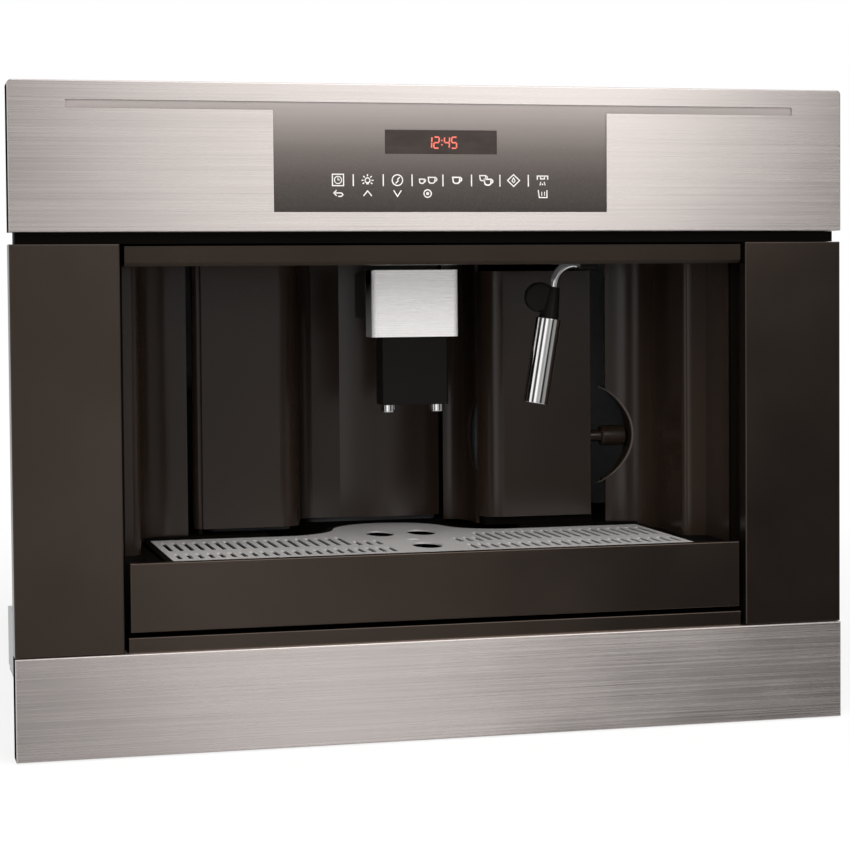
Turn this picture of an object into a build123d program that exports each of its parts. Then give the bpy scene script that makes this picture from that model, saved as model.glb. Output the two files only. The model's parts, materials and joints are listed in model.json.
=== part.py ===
from build123d import *
from math import acos, asin, cos, degrees, radians, sin
import os

# Built-in bean-to-cup coffee machine for a 560 x 450 mm kitchen niche.
# Millimetres. +X is right, the front faces -Y, +Z is up.
# Places are given as (x, d, z): x from the centre line, d back from the front plane,
# z above the lower edge of the front.

# ---------------------------------------------------------------- overall
FRONT_W = 594.0          # width of the steel front
FRONT_H = 455.0          # height of the front
FRONT_OVERLAP = 37.0     # front beyond the housing on each side
FRONT_RISE = 11.0        # front above the housing
FOOT_GAP = 1.0           # front's lower edge above the niche floor
CLEAR = 0.3              # gap between pieces that move past each other
FIT = 0.05               # radial gap of a pin or shaft in its bore

# ---------------------------------------------------------------- front panels
SHEET = 2.0              # folded front sheet
PANEL_D = 20.0           # depth of the folded panels
UPPER_H = 101.0          # upper steel panel
LOWER_H = 69.5           # lower steel panel
SHADOW_H = 8.0           # dark gap under the upper panel
TRIM_W = 73.2            # dark side trim
TRIM_SET = 1.5           # trims stand back from the steel
TRIM_GAP = 0.5           # joint between trim and lower panel
CORNER_R = 3.0           # top corners of the front
EDGE_R = 0.7             # broken edge round each front panel
INSERT_DROP = 12.7       # front's top edge to the top of the control insert
INSERT_SET = 0.9         # insert lies this far behind the steel
INSERT_T = 2.6           # insert thickness
INSERT_LIP = 5.0         # insert reaches behind the sheet by this
GROOVE_END = 38.1        # front's side edge to the end of the long groove
GROOVE_H = 5.8
CONTROL_W = 238.0        # control field
CONTROL_H = 75.0
DISPLAY_W = 80.0
DISPLAY_H = 16.6
DISPLAY_X = -1.0
DISPLAY_DROP = 18.3      # top of the control field to the top of the display
DISPLAY_T = 1.2
DISPLAY_PROUD = 0.2
BOARD_T = 1.6            # circuit boards
BOARD_INSET = 9.0        # key board inside the ends of the control field
BOARD_LOW = 3.0          # key board above the lower edge of the control field
BOARD_H = 60.0
POST_INSET = 10.0
POST_EDGE = 5.0
POST_R = 3.0
POST_L = 6.0
FRAME_T = 6.0            # plastic frame behind the panels
FRAME_INSET = 4.0
FRAME_END = 3.0          # frame inside the front's upper and lower edge
RIB_SET = 6.5            # rib in the dark gap behind the front plane
MODULE_GAP = 1.0         # insert to the display module
LINTEL_DROP = 1.5        # shadow gap to the top of the lintel bar
LINTEL_H = 13.5
LINTEL_SET = 3.0
LINTEL_BEVEL = 2.5
SILL_H = 10.5            # dark strip under the drip tray
SILL_SET = 4.0

# ---------------------------------------------------------------- cup bay
BAY_MARGIN = 3.3         # trim's inner edge to the opening in the frame
WALL = 2.5               # bay liner
CHEEK_STEP_D = 72.0      # depth where the side walls step in
CHEEK_STEP_W = 17.5      # and by how much
STEP_R = 6.0             # round edge of that step
CHEEK_R = 33.0           # round corner between side and back
CHEEK_FLAT = 12.0        # back surface beside the service door
BACK_D = 158.0           # flat back surfaces
SHOULDER_X = 88.0        # where the back surface turns in
SHOULDER_R = 18.0
RECESS_RUN = 20.0        # straight side of the recess behind the spout
COVE_R = 18.0
DECK_DROP = 8.5          # top of the lintel to the ceiling of the bay
DECK_T = 4.0
GUIDE_STEP = 8.5         # tray guides inside the cheeks
GUIDE_DROP = 2.0         # top of the tray guides below the cup surface
REAR_RISE = 1.3          # floor behind the tray above the cup surface
REAR_FLOOR_HALF = 98.0   # the tray's bulge runs in between
LENS_X = 44.5
LENS_D = 62.0
LENS_W = 21.0
LENS_L = 14.0
LENS_T = 1.2

# ---------------------------------------------------------------- service door
DOOR_SLOT = 11.5         # open slot on the hinge side
DOOR_RIGHT = 49.7
DOOR_WALL = 3.0
DOOR_LIFT = 4.2          # door above the rear floor
DOOR_TOP_GAP = 2.0
DOOR_GAP = 3.8           # joint to the fixed wall on the right
DOOR_BELLY = 6.0         # bulge of the recess wall
BELLY_X0 = -30.0         # bulge runs from here to the door's free edge
HINGE_SET = 1.5          # hinge axis outside the door's edge
BARREL_R = 5.0
BARREL_BACK = 7.0        # hinge axis behind the flat back surface
BOSS_H = 8.0
PIN_R = 2.5
PIN_IN_DOOR = 10.0
PIN_OUT = 3.2            # pin length beyond the door, in its bore

# ---------------------------------------------------------------- spout
SPOUT_X = 2.4            # spout right of the centre line
COVER_W = 65.0
COVER_AHEAD = 66.0       # cover's front ahead of the flat back surfaces
COVER_L = 26.5
COVER_H = 49.0
COVER_DROP = 8.0         # bay ceiling to the top of the cover
COVER_T = 1.8
COVER_R = 4.0
SPOUT_W = 50.6
SPOUT_L = 20.5
SPOUT_PLAY = 1.2         # front of the spout to the inside of the cover
SPOUT_HANG = 50.0        # spout below the cover at rest
SPOUT_IN = 11.0          # length inside the cover at rest
SPOUT_T = 2.0
GUIDE_RIB_L = 6.0
NOZZLE_X = 18.6          # nozzles beside the spout's middle
NOZZLE_R = 5.6
NOZZLE_BORE = 3.0
NOZZLE_L = 5.5
NECK_W = 40.0
NECK_H = 36.0

# ---------------------------------------------------------------- drip tray and grille
TRAY_FRONT_H = 47.0
TRAY_LIFT = 3.5          # tray front above the sill
TRAY_MARGIN = 1.1        # tray front inside the bay opening
TRAY_SET = 3.0
TRAY_UNDER = 2.5         # tub's floor above the lower edge of the tray front
TRAY_WALL = 2.5
TRAY_RIM = 5.0           # rim outside the grille
TRAY_PLAY = 1.0          # rim to the guides beside it
REAR_PLAY = 3.0          # rim to the floor behind it
TRAY_LEDGE = 5.0         # grille rests on this much
LEDGE_H = 7.0
GRILLE_DROP = 0.5        # cup surface below the top of the tray front
GRILLE_T = 1.2
GRILLE_D0 = 14.0
GRILLE_BACK = 17.0       # grille's rear edge ahead of the flat back surfaces
PEAK_GAP = 2.0           # grille's bulge ahead of the deepest surface
BULGE_HALF = 88.0
BULGE_ROOM = 5.0         # room behind the bulge
SLOT_W = 3.2
SLOT_PITCH = 7.6
SLOT_X0 = 30.0           # first slot from the centre
SLOT_END = 4.5           # last slot to the grille's side
SLOT_FRONT = 10.0        # grille's front edge to the front row
FRONT_SLOT_L = 28.0
SLOT_BACK = 19.0         # rear row to the grille's rear edge
BACK_SLOT_L = 50.0
SHORT_SLOT_L = 26.0
SHORT_BACK = 47.0        # short row to the grille's rear edge
SHORT_SLOT_X = 50.0      # slots nearer the centre are short
HOLE_W = 21.0            # oval drain holes
HOLE_L = 37.0
PAIR_X = 16.0            # two of them at the rear
PAIR_BACK = 4.0          # their middle ahead of the grille's straight rear edge
SINGLE_D = 54.0          # one at the front
FLOAT_D = 92.0
FLOAT_HOLE_R = 5.9
FLOAT_R = 5.0
FLOAT_DROP = 2.7         # float's top below the cup surface
FLOAT_GUIDE_H = 14.0
FLOAT_GUIDE_T = 2.0

# ---------------------------------------------------------------- water tank
TANK_SLOT = 12.0         # open slot between tank and right cheek
TANK_FRONT_T = 3.0
TANK_FRONT_LIFT = 6.0    # tank front above the rear floor
TANK_FRONT_OVER = 5.0    # tank front above the tank
TANK_LIP = 17.0          # return of the tank front
TANK_LEFT = 76.0
TANK_SET = 1.0           # tank behind its front
TANK_BACK_GAP = 10.0     # tank to the bulkhead
TANK_T = 2.0
TANK_TOP_GAP = 14.0
TANK_R = 14.0
TANK_PIN_R = 8.0         # grip pin in the right scoop
TANK_PIN_L = 29.5
TANK_PIN_DROP = 1.5      # pin below the scoop's centre
PIN_NECK_R = 4.5         # slim neck between the tank and the grip
PIN_NECK_L = 10.0
BRACKET_W = 40.0
BRACKET_H = 30.0
BRACKET_T = 1.5
BRACKET_DOWN = 10.0
SPIGOT_R = 6.0
SPIGOT_L = 8.0
SPIGOT_RISE = 14.7
SPIGOT_WALL = 4.0
BARB_L = 6.0
TANK_BAY_T = 2.0
TANK_SIDE_GAP = 2.0
TANK_LIP_GAP = 3.0       # tank front's return to the bay's wall
TANK_BAY_LIFT = 5.7      # tank bay's floor above the rear floor
SCOOP_RISE = 68.2        # finger scoops above the rear floor
SCOOP_R = 40.5           # right scoop, in the cheek
SCOOP_SET = 7.5          # its centre inside the tank's right side
SCOOP_RIM = 2.0
SCOOP_DEPTH = 14.0
SIDE_SCOOP_R = 30.0      # left scoop, in the fixed wall
SIDE_SCOOP_BACK = 12.0

# ---------------------------------------------------------------- steam wand
WAND_D = 66.0
WAND_DROP = 4.5          # swivel axis below the ceiling
WAND_TILT = 9.5          # degrees, lower end to the left
PIPE_R = 3.2
PIPE_BEND_R = 16.0
PIPE_RUN = 15.4          # socket to the point where pipe axis and wand axis meet
SOCKET_SET = 27.0        # socket inside the tank's right side
SOCKET_W = 13.0
SOCKET_L = 16.0
SOCKET_H = 9.0
SOCKET_WALL = 3.0        # closed end behind the pipe
SLEEVE_FROM = 17.0       # distances down the wand axis
SLEEVE_TO = 40.0
SLEEVE_R0 = 4.7
SLEEVE_R1 = 7.2
PIPE_IN = 6.0            # pipe's end below the sleeve's shoulder
STUB_R = 6.0
STUB_TO = 56.0
SHEATH_TO = 103.0
SHEATH_R = 9.3
SHEATH_T = 1.2
SHEATH_BORE = 31.0       # length of the bore that slides on the stub
STEAM_R = 2.0
PAD_R = 11.0             # round thumb pad
PAD_T = 7.0
PAD_OUT = 9.5
PAD_DOWN = 26.0

# ---------------------------------------------------------------- housing
PLATE = 1.5              # housing sheet
PLATE_Z0 = 8.0
FLANGE = 12.0
BULKHEAD_T = 2.0
BACK_ROOM = 103.0        # bulkhead to the rear cover
SPACER_L = 3.5           # wall spacers
SPACER_R = 7.0
SPACER_INSET = 40.0
SPACER_END = 50.0        # upper spacers below the top
SPACER_LOW = 90.0        # lower spacers above the floor sheet
SCREW_R = 1.75
SCREW_HEAD_R = 3.5
SCREW_HEAD_H = 2.0
SCREW_L = 8.0
SCREW_SLOT = 1.0
SCREW_END = 22.0
SCREW_COUNT = 4
VENT_W = 3.5
VENT_L = 42.0
VENT_PITCH = 9.0
VENT_COUNT = 14
REAR_VENT_X = -150.0
REAR_VENT_RISE = 112.0   # lower row above the floor sheet
REAR_VENT_STEP = 130.0
TOP_VENT_X = 90.0
TOP_VENT_BACK = 45.0

# ---------------------------------------------------------------- slide rails and base
RAIL_SET = 8.0           # rails behind the front frame
RAIL_BACK_GAP = 3.0
RAIL_Z = 10.0
RAIL_H = 40.0
RAIL_T = 1.5
RAIL_GAP = 0.35
RAIL_SIDE = 1.0          # webs apart
RAIL_DEEP = 15.0         # side plate to the outer rail's back
LIP_GAP = 2.0
TIE_L = 40.0
TIE_T = 2.5
TIE_FRONT = 18.0         # strips behind the frame and ahead of the rear cover
TIE_BACK = 17.0
TIE_HOLE_R = 2.25
TIE_HOLE_SET = 20.0
RAIL_FOOT = 26.0

# ---------------------------------------------------------------- coffee making parts
GRINDER_SIDE = 105.0     # grinder axis inside the left side plate
GRINDER_R = 48.0
CHAMBER_R = 25.3
CHAMBER_LOW = 12.0       # chamber floor above the deck
BURR_R = 25.0
BURR_TOP_R = 9.0
BURR_H = 18.0
BURR_CUTS = 9
BURR_CUT_W = 2.0
SHAFT_R = 4.0
SHAFT_IN = 8.0           # shaft in the motor
MOTOR_R = 31.0
MOTOR_L = 74.0
MOTOR_EDGE = 4.0
MOTOR_GAP = 5.0
DECK_SHAFT_R = 10.0
HOPPER_W = 126.0
HOPPER_L = 158.0
HOPPER_H = 56.0
HOPPER_T = 2.0
HOPPER_BACK = 15.0
HOPPER_OUTLET_R = 18.0
FUNNEL_X = 0.0
FUNNEL_SET = 38.0        # its axis behind the infuser's front
FUNNEL_W = 60.0
FUNNEL_L = 44.0
FUNNEL_DEEP = 50.0
FUNNEL_T = 2.0
FUNNEL_TUBE_R = 17.0
INFUSER_X0 = -55.0
INFUSER_X1 = 50.0
INFUSER_L = 72.0
INFUSER_GAP = 7.0        # infuser behind the service door
INFUSER_BACK = 6.0
INFUSER_DROP = 11.0      # infuser's top below the deck
INFUSER_R = 6.0
INFUSER_BORE_R = 21.0
INFUSER_BORE_RISE = 40.7
PISTON_RISE = 28.0
PISTON_H = 20.0
ROD_R = 5.0
ROD_L = 50.0
GROUNDS_X0 = -140.0
GROUNDS_X1 = -76.0
GROUNDS_SET = 20.0       # container behind the flat back surface
GROUNDS_H = 104.0
GROUNDS_T = 2.0
GROUNDS_R = 8.0
BOILER_X0 = 60.0
BOILER_X1 = 160.0
BOILER_L = 90.0
BOILER_BACK = 17.0
BOILER_H = 70.0
BOILER_R = 10.0
PUMP_W = 65.0
PUMP_SIDE = 45.0         # pump inside the right side plate
PUMP_L = 54.0
PUMP_BACK = 35.0
PUMP_H = 56.0
PUMP_R = 8.0
PUMP_IN = 18.0           # inlet and outlet from the pump's ends
PUMP_OUT = 15.0
POWER_HALF = 60.0
POWER_Z0 = 145.0
POWER_H = 110.0
POWER_POST_INSET = 8.0
CORE_X = -40.0           # transformer
CORE_W = 40.0
CORE_H = 35.0
CORE_DEEP = 30.0
CORE_UP = 20.0
RELAY_X = 15.0
RELAY_W = 30.0
RELAY_H = 18.0
RELAY_DEEP = 18.0
RELAY_UP = 65.0
CELL_X = -45.0           # row of capacitors
CELL_R = 6.0
CELL_L = 22.0
CELL_PITCH = 16.0
CELL_COUNT = 4
CELL_DOWN = 22.0
HOSE_R = 4.0
HOSE_BORE = 2.5
HOSE_BEND = 14.0
HOSE_LOOP = 34.0
BREW_X = 14.0            # brew outlet from the boiler's left side
BREW_SET = 10.0          # inlet from the infuser's right side and rear
BREW_BACK = 24.0
STEAM_UP = 10.0          # steam outlet above, brew outlet below the boiler's middle
BREW_DOWN = 5.0

# ---------------------------------------------------------------- lids, knob, inlet
LID_T = 3.5
LID_OVER = 6.0           # lid beyond its opening
LID_LIFT = 0.5
LID_R = 6.0
LID_PIN_R = 1.5
LID_BARREL_R = 2.5
EAR_T = 3.0
EAR_R = 3.0
EAR_GAP = 0.5
KNOB_GAP = 30.0          # knob beside the hopper
KNOB_AHEAD = 10.0        # knob ahead of the grinder axis
KNOB_R = 13.0
KNOB_H = 8.0
KNOB_SHAFT_R = 3.0
KNOB_SHAFT_L = 24.0
KNOB_RIBS = 18
FLUTE_R = 1.5
MARK_W = 1.2
MARK_END = 3.0           # pointer mark ends short of the knob's axis
MARK_DEEP = 0.6
INLET_SIDE = 12.0        # inlet unit inside the right side plate
INLET_W = 76.0
INLET_Z0 = 20.0
INLET_H = 48.0
INLET_FLANGE = 2.0
INLET_LAND = 4.0
INLET_R = 3.0
INLET_DEEP = 28.5
SOCKET_AT = 24.0         # mains socket from the unit's left side
MAINS_W = 28.0
MAINS_H = 20.0
MAINS_DEEP = 17.0
MAINS_R = 4.0
CONTACTS = ((-7.0, -2.0), (0.0, 3.0), (7.0, -2.0))
CONTACT_W = 2.0
CONTACT_H = 4.0
CONTACT_SET = 3.0
ROCKER_AT = 56.0
ROCKER_W = 15.0
ROCKER_HALF = 11.2
ROCKER_TILT = 7.0
ROCKER_PLAY = 1.6
ROCKER_BACK = 9.5        # rocker axis ahead of the unit's face
ROCKER_PIN_R = 1.5
ROCKER_PIN_OUT = 2.5
ROCKER_FACE = 9.0        # rocker's ends behind its axis
ROCKER_HOLLOW = 7.5
ROCKER_FOOT = 7.0        # half height of its inner side
ROCKER_IN = 3.0
ROCKER_SIDE = ((-ROCKER_IN, -ROCKER_FOOT), (ROCKER_FACE, -ROCKER_HALF), (ROCKER_HOLLOW, 0),
               (ROCKER_FACE, ROCKER_HALF), (-ROCKER_IN, ROCKER_FOOT))

# ---------------------------------------------------------------- derived places, across
HALF = FRONT_W / 2
BOARD_HALF = CONTROL_W / 2 - BOARD_INSET
TRIM_X = HALF - TRIM_W
BAY_HALF = TRIM_X - BAY_MARGIN
LINER_HALF = BAY_HALF + WALL
CHEEK_HALF = BAY_HALF - CHEEK_STEP_W
GUIDE_X = CHEEK_HALF - GUIDE_STEP
GRILLE_HALF = GUIDE_X - TRAY_PLAY - TRAY_RIM
TRAY_FRONT_HALF = BAY_HALF - TRAY_MARGIN
HOUSE_HALF = HALF - FRONT_OVERLAP
COVER_HALF = HOUSE_HALF + PLATE
GROOVE_HALF = HALF - GROOVE_END
DOOR_LEFT = -(CHEEK_HALF - CHEEK_R - CHEEK_FLAT - DOOR_SLOT)
HINGE_X = DOOR_LEFT - HINGE_SET
RECESS_X = SHOULDER_X - SHOULDER_R
COVE_X = RECESS_X - COVE_R
TANK_RIGHT = CHEEK_HALF - CHEEK_R - TANK_SLOT
TANK_MID = (TANK_LEFT + TANK_RIGHT) / 2
SCOOP_X = TANK_RIGHT - SCOOP_SET
SOCKET_X1 = TANK_RIGHT - SOCKET_SET
SOCKET_X0 = SOCKET_X1 - SOCKET_W
PIPE_X0 = SOCKET_X1 - SOCKET_WALL
WAND_CORNER_X = SOCKET_X0 - PIPE_RUN
GRINDER_X = GRINDER_SIDE - HOUSE_HALF
HOPPER_X0 = GRINDER_X - HOPPER_W / 2
HOPPER_X1 = GRINDER_X + HOPPER_W / 2
KNOB_X = HOPPER_X1 + KNOB_GAP
INLET_X1 = HOUSE_HALF - INLET_SIDE
INLET_X0 = INLET_X1 - INLET_W
MAINS_X = INLET_X0 + SOCKET_AT
ROCKER_X = INLET_X0 + ROCKER_AT
WAND_HOSE_X = (SOCKET_X0 + SOCKET_X1) / 2
BREW_HOSE_X = INFUSER_X1 - BREW_SET
PUMP_X1 = HOUSE_HALF - PUMP_SIDE
PUMP_X0 = PUMP_X1 - PUMP_W
PUMP_IN_X = PUMP_X0 + PUMP_IN
PUMP_OUT_X = PUMP_X1 - PUMP_OUT
RAIL_BACK = COVER_HALF + RAIL_DEEP

# ---------------------------------------------------------------- derived places, front to back
LINER_D = PANEL_D + FRAME_T
SHOULDER_D = BACK_D + SHOULDER_R
COVE_D = SHOULDER_D + RECESS_RUN
RECESS_D = COVE_D + COVE_R
HINGE_D = BACK_D + BARREL_BACK
COVER_D = BACK_D - COVER_AHEAD
COVER_BACK = COVER_D + COVER_L
SPOUT_D = COVER_D + COVER_T + SPOUT_PLAY
SPOUT_MID = SPOUT_D + SPOUT_L / 2
GRILLE_D1 = BACK_D - GRILLE_BACK
GRILLE_PEAK = RECESS_D - PEAK_GAP
REAR_FLOOR_D = GRILLE_D1 + TRAY_RIM + REAR_PLAY
MID_FLOOR_D = GRILLE_PEAK + TRAY_RIM + BULGE_ROOM
INFUSER_D0 = RECESS_D + DOOR_WALL + INFUSER_GAP
INFUSER_D1 = INFUSER_D0 + INFUSER_L
FUNNEL_D = INFUSER_D0 + FUNNEL_SET
BULKHEAD_D = INFUSER_D1 + INFUSER_BACK
BULKHEAD_BACK = BULKHEAD_D + BULKHEAD_T
TANK_D0 = BACK_D + TANK_FRONT_T + TANK_SET
TANK_BACK = BULKHEAD_D - TANK_BACK_GAP
TANK_BAY_D0 = BACK_D + TANK_LIP + TANK_LIP_GAP
BARB_END = BULKHEAD_BACK + BARB_L
SIDE_SCOOP_D = BACK_D + SIDE_SCOOP_BACK
REAR_D = BULKHEAD_BACK + BACK_ROOM
REAR_FACE = REAR_D + PLATE
DEPTH = REAR_FACE + SPACER_L
FRONT_Y = -DEPTH / 2
GRINDER_D = BULKHEAD_BACK + MOTOR_GAP + MOTOR_R
HOPPER_D1 = REAR_D - HOPPER_BACK
HOPPER_D0 = HOPPER_D1 - HOPPER_L
KNOB_D = GRINDER_D - KNOB_AHEAD
BOILER_D1 = REAR_D - BOILER_BACK
BOILER_D0 = BOILER_D1 - BOILER_L
PUMP_D1 = REAR_D - PUMP_BACK
PUMP_D0 = PUMP_D1 - PUMP_L
PUMP_MID = (PUMP_D0 + PUMP_D1) / 2
BREW_HOSE_D = INFUSER_D1 - BREW_BACK
RAIL_D0 = LINER_D + RAIL_SET
RAIL_D1 = REAR_D - RAIL_BACK_GAP
TIE_DS = (LINER_D + TIE_FRONT, REAR_D - TIE_BACK - TIE_L)
ROCKER_D = REAR_FACE + INLET_FLANGE - ROCKER_BACK

# ---------------------------------------------------------------- derived places, heights
UPPER_Z = FRONT_H - UPPER_H
SHADOW_Z = UPPER_Z - SHADOW_H
LINTEL_TOP = SHADOW_Z - LINTEL_DROP
LINTEL_Z = LINTEL_TOP - LINTEL_H
SILL_TOP = LOWER_H + SILL_H
INSERT_TOP = FRONT_H - INSERT_DROP
CONTROL_Z = INSERT_TOP - CONTROL_H
DISPLAY_Z = INSERT_TOP - DISPLAY_DROP - DISPLAY_H
BOARD_Z = CONTROL_Z + BOARD_LOW
TRAY_LOW = SILL_TOP + TRAY_LIFT
TRAY_TOP = TRAY_LOW + TRAY_FRONT_H
TRAY_Z = TRAY_LOW + TRAY_UNDER
TRAY_FLOOR = TRAY_Z + TRAY_WALL
RUNNER = TRAY_Z - CLEAR
GRILLE_Z = TRAY_TOP - GRILLE_DROP
GRILLE_LOW = GRILLE_Z - GRILLE_T
BAY_FLOOR = GRILLE_Z - GUIDE_DROP
REAR_FLOOR = GRILLE_Z + REAR_RISE
DECK_Z = LINTEL_TOP - DECK_DROP
DECK_TOP = DECK_Z + DECK_T
DOOR_Z = REAR_FLOOR + DOOR_LIFT
DOOR_TOP = DECK_Z - DOOR_TOP_GAP
COVER_TOP = DECK_Z - COVER_DROP
COVER_Z = COVER_TOP - COVER_H
SPOUT_Z = COVER_Z - SPOUT_HANG
TANK_BAY_FLOOR = REAR_FLOOR + TANK_BAY_LIFT
TANK_FLOOR = TANK_BAY_FLOOR + CLEAR
TANK_TOP = DECK_Z - TANK_TOP_GAP
TANK_FRONT_Z = REAR_FLOOR + TANK_FRONT_LIFT
TANK_FRONT_TOP = TANK_TOP + TANK_FRONT_OVER
SPIGOT_Z = TANK_FLOOR + SPIGOT_RISE
SCOOP_Z = REAR_FLOOR + SCOOP_RISE
TANK_PIN_Z = SCOOP_Z - TANK_PIN_DROP
WAND_Z = DECK_Z - WAND_DROP
PLATE_Z1 = FRONT_H - FRONT_RISE
HOUSE_TOP = PLATE_Z1 + PLATE
FLOOR_TOP = PLATE_Z0 + PLATE
HOPPER_Z = PLATE_Z1 - HOPPER_H
CHAMBER_FLOOR = DECK_TOP + CHAMBER_LOW
INFUSER_TOP = DECK_Z - INFUSER_DROP
INFUSER_BORE_Z = REAR_FLOOR + INFUSER_BORE_RISE
PISTON_Z = INFUSER_BORE_Z + PISTON_RISE
ROD_LOW = PISTON_Z - ROD_L
PUMP_TOP = FLOOR_TOP + PUMP_H
INLET_Z1 = INLET_Z0 + INLET_H
INLET_MID = INLET_Z0 + INLET_H / 2
SPACER_ZS = (PLATE_Z0 + SPACER_LOW, HOUSE_TOP - SPACER_END)
SCREW_STEP = (PLATE_Z1 - PLATE_Z0 - 2 * SCREW_END) / (SCREW_COUNT - 1)
SCREW_ZS = [PLATE_Z0 + SCREW_END + number * SCREW_STEP for number in range(SCREW_COUNT)]
REAR_VENT_ZS = (PLATE_Z0 + REAR_VENT_RISE, PLATE_Z0 + REAR_VENT_RISE + REAR_VENT_STEP)


# ---------------------------------------------------------------- helpers
def at(x, d, z):
    """Place x right of centre, d behind the front plane, z above the front's lower edge."""
    return Pos(x, FRONT_Y + d, FOOT_GAP + z)


def slab(x0, x1, d0, d1, z0, z1):
    return at((x0 + x1) / 2, (d0 + d1) / 2, (z0 + z1) / 2) * Box(x1 - x0, d1 - d0, z1 - z0)


def rod_x(x0, x1, d, z, r):
    return at((x0 + x1) / 2, d, z) * Cylinder(r, x1 - x0, rotation=(0, 90, 0))


def rod_d(x, d0, d1, z, r):
    return at(x, (d0 + d1) / 2, z) * Cylinder(r, d1 - d0, rotation=(90, 0, 0))


def rod_z(x, d, z0, z1, r):
    return at(x, d, (z0 + z1) / 2) * Cylinder(r, z1 - z0)


def arc_point(arc, angle):
    x, d, r = arc[:3]
    return (x + r * cos(radians(angle)), d + r * sin(radians(angle)))


def plan_face(*items):
    """Closed plan outline of points (x, d) and arcs (x, d, radius, from, to), joined by lines."""
    ends = []
    for item in items:
        if len(item) == 2:
            ends.append((item, item))
        else:
            ends.append((arc_point(item, item[3]), arc_point(item, item[4])))
    edges = []
    for number, item in enumerate(items):
        first, last = ends[number]
        following = ends[(number + 1) % len(items)][0]
        if len(item) == 5:
            middle = arc_point(item, (item[3] + item[4]) / 2)
            edges.append(ThreePointArc(first, middle, last))
        if abs(last[0] - following[0]) + abs(last[1] - following[1]) > 1e-6:
            edges.append(Line(last, following))
    return Pos(0, FRONT_Y, 0) * make_face(edges)


def upright(face, z0, z1):
    """The plan outline standing from z0 to z1."""
    return Pos(0, 0, FOOT_GAP + z0) * extrude(face, amount=z1 - z0, dir=(0, 0, 1))


def folded_panel(x0, x1, d0, z0, z1, round_top):
    """A front sheet with its four sides folded back to the frame."""
    outer = slab(x0, x1, d0, PANEL_D, z0, z1)
    if round_top:
        top = outer.edges().filter_by(Axis.Y).group_by(Axis.Z)[-1]
        outer = fillet(top, CORNER_R)
    outer = fillet(outer.faces().sort_by(Axis.Y)[0].edges(), EDGE_R)
    return outer - slab(x0 + SHEET, x1 - SHEET, d0 + SHEET, PANEL_D + 1, z0 + SHEET, z1 - SHEET)


def both_sides(part):
    return part + mirror(part, about=Plane.YZ)


def compound_of(*solids):
    """Separate solids that share one node."""
    return Compound(children=[s for part in solids for s in part.solids()])


# ---------------------------------------------------------------- front
def insert_shape(grow, d0, d1):
    """The groove strip and the control field as one shape."""
    strip = slab(-GROOVE_HALF - grow, GROOVE_HALF + grow, d0, d1,
                 INSERT_TOP - GROOVE_H - grow, INSERT_TOP + grow)
    field = slab(-CONTROL_W / 2 - grow, CONTROL_W / 2 + grow, d0, d1,
                 CONTROL_Z - grow, INSERT_TOP + grow)
    return strip + field


def display_pocket(grow, d0, d1):
    return slab(DISPLAY_X - DISPLAY_W / 2 - grow, DISPLAY_X + DISPLAY_W / 2 + grow, d0, d1,
                DISPLAY_Z - grow, DISPLAY_Z + DISPLAY_H + grow)


def upper_front_panel():
    panel = folded_panel(-HALF, HALF, 0, UPPER_Z, FRONT_H, True)
    return panel - insert_shape(0, -1, SHEET)


def control_insert():
    front = insert_shape(-FIT, INSERT_SET, SHEET)
    lip = insert_shape(INSERT_LIP, SHEET, INSERT_SET + INSERT_T)
    return front + lip - display_pocket(0, 0, INSERT_SET + DISPLAY_T - DISPLAY_PROUD)


def display_window():
    front = INSERT_SET - DISPLAY_PROUD
    pane = display_pocket(-FIT, front, front + DISPLAY_T)
    return fillet(pane.faces().sort_by(Axis.Y)[0].edges(), DISPLAY_PROUD)


def board_posts():
    posts = Part()
    for x in (-BOARD_HALF + POST_INSET, BOARD_HALF - POST_INSET):
        for z in (BOARD_Z + POST_EDGE, BOARD_Z + BOARD_H - POST_EDGE):
            posts += rod_d(x, PANEL_D - POST_L, PANEL_D, z, POST_R)
    return posts


def display_board():
    d1 = PANEL_D - POST_L
    front = INSERT_SET + INSERT_T + MODULE_GAP
    board = slab(-BOARD_HALF, BOARD_HALF, d1 - BOARD_T, d1, BOARD_Z, BOARD_Z + BOARD_H)
    module = slab(DISPLAY_X - DISPLAY_W / 2, DISPLAY_X + DISPLAY_W / 2, front,
                  d1 - BOARD_T, DISPLAY_Z, DISPLAY_Z + DISPLAY_H)
    return board + module


def lower_front_panel():
    return folded_panel(-HALF, HALF, 0, 0, LOWER_H, False)


def side_trim_right():
    return folded_panel(TRIM_X, HALF, TRIM_SET, LOWER_H + TRIM_GAP, SHADOW_Z, False)


def front_frame():
    plate = slab(-HALF + FRAME_INSET, HALF - FRAME_INSET, PANEL_D, LINER_D,
                 FRAME_END, FRONT_H - FRAME_END)
    rib = slab(-HALF + FRAME_INSET, HALF - FRAME_INSET, RIB_SET, PANEL_D,
               SHADOW_Z + CLEAR, UPPER_Z - CLEAR)
    opening = slab(-BAY_HALF, BAY_HALF, PANEL_D - 1, LINER_D + 1, LOWER_H, LINTEL_TOP)
    return plate + rib + board_posts() - opening


def lintel_bar():
    bar = slab(-BAY_HALF, BAY_HALF, LINTEL_SET, LINER_D, LINTEL_Z, LINTEL_TOP)
    lower = bar.faces().sort_by(Axis.Y)[0].edges().filter_by(Axis.X).sort_by(Axis.Z)[0]
    return chamfer(lower, LINTEL_BEVEL)


def lower_sill():
    bar = slab(-BAY_HALF, BAY_HALF, SILL_SET, LINER_D, LOWER_H, SILL_TOP)
    upper = bar.faces().sort_by(Axis.Y)[0].edges().filter_by(Axis.X).sort_by(Axis.Z)[-1]
    return fillet(upper, EDGE_R)


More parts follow.
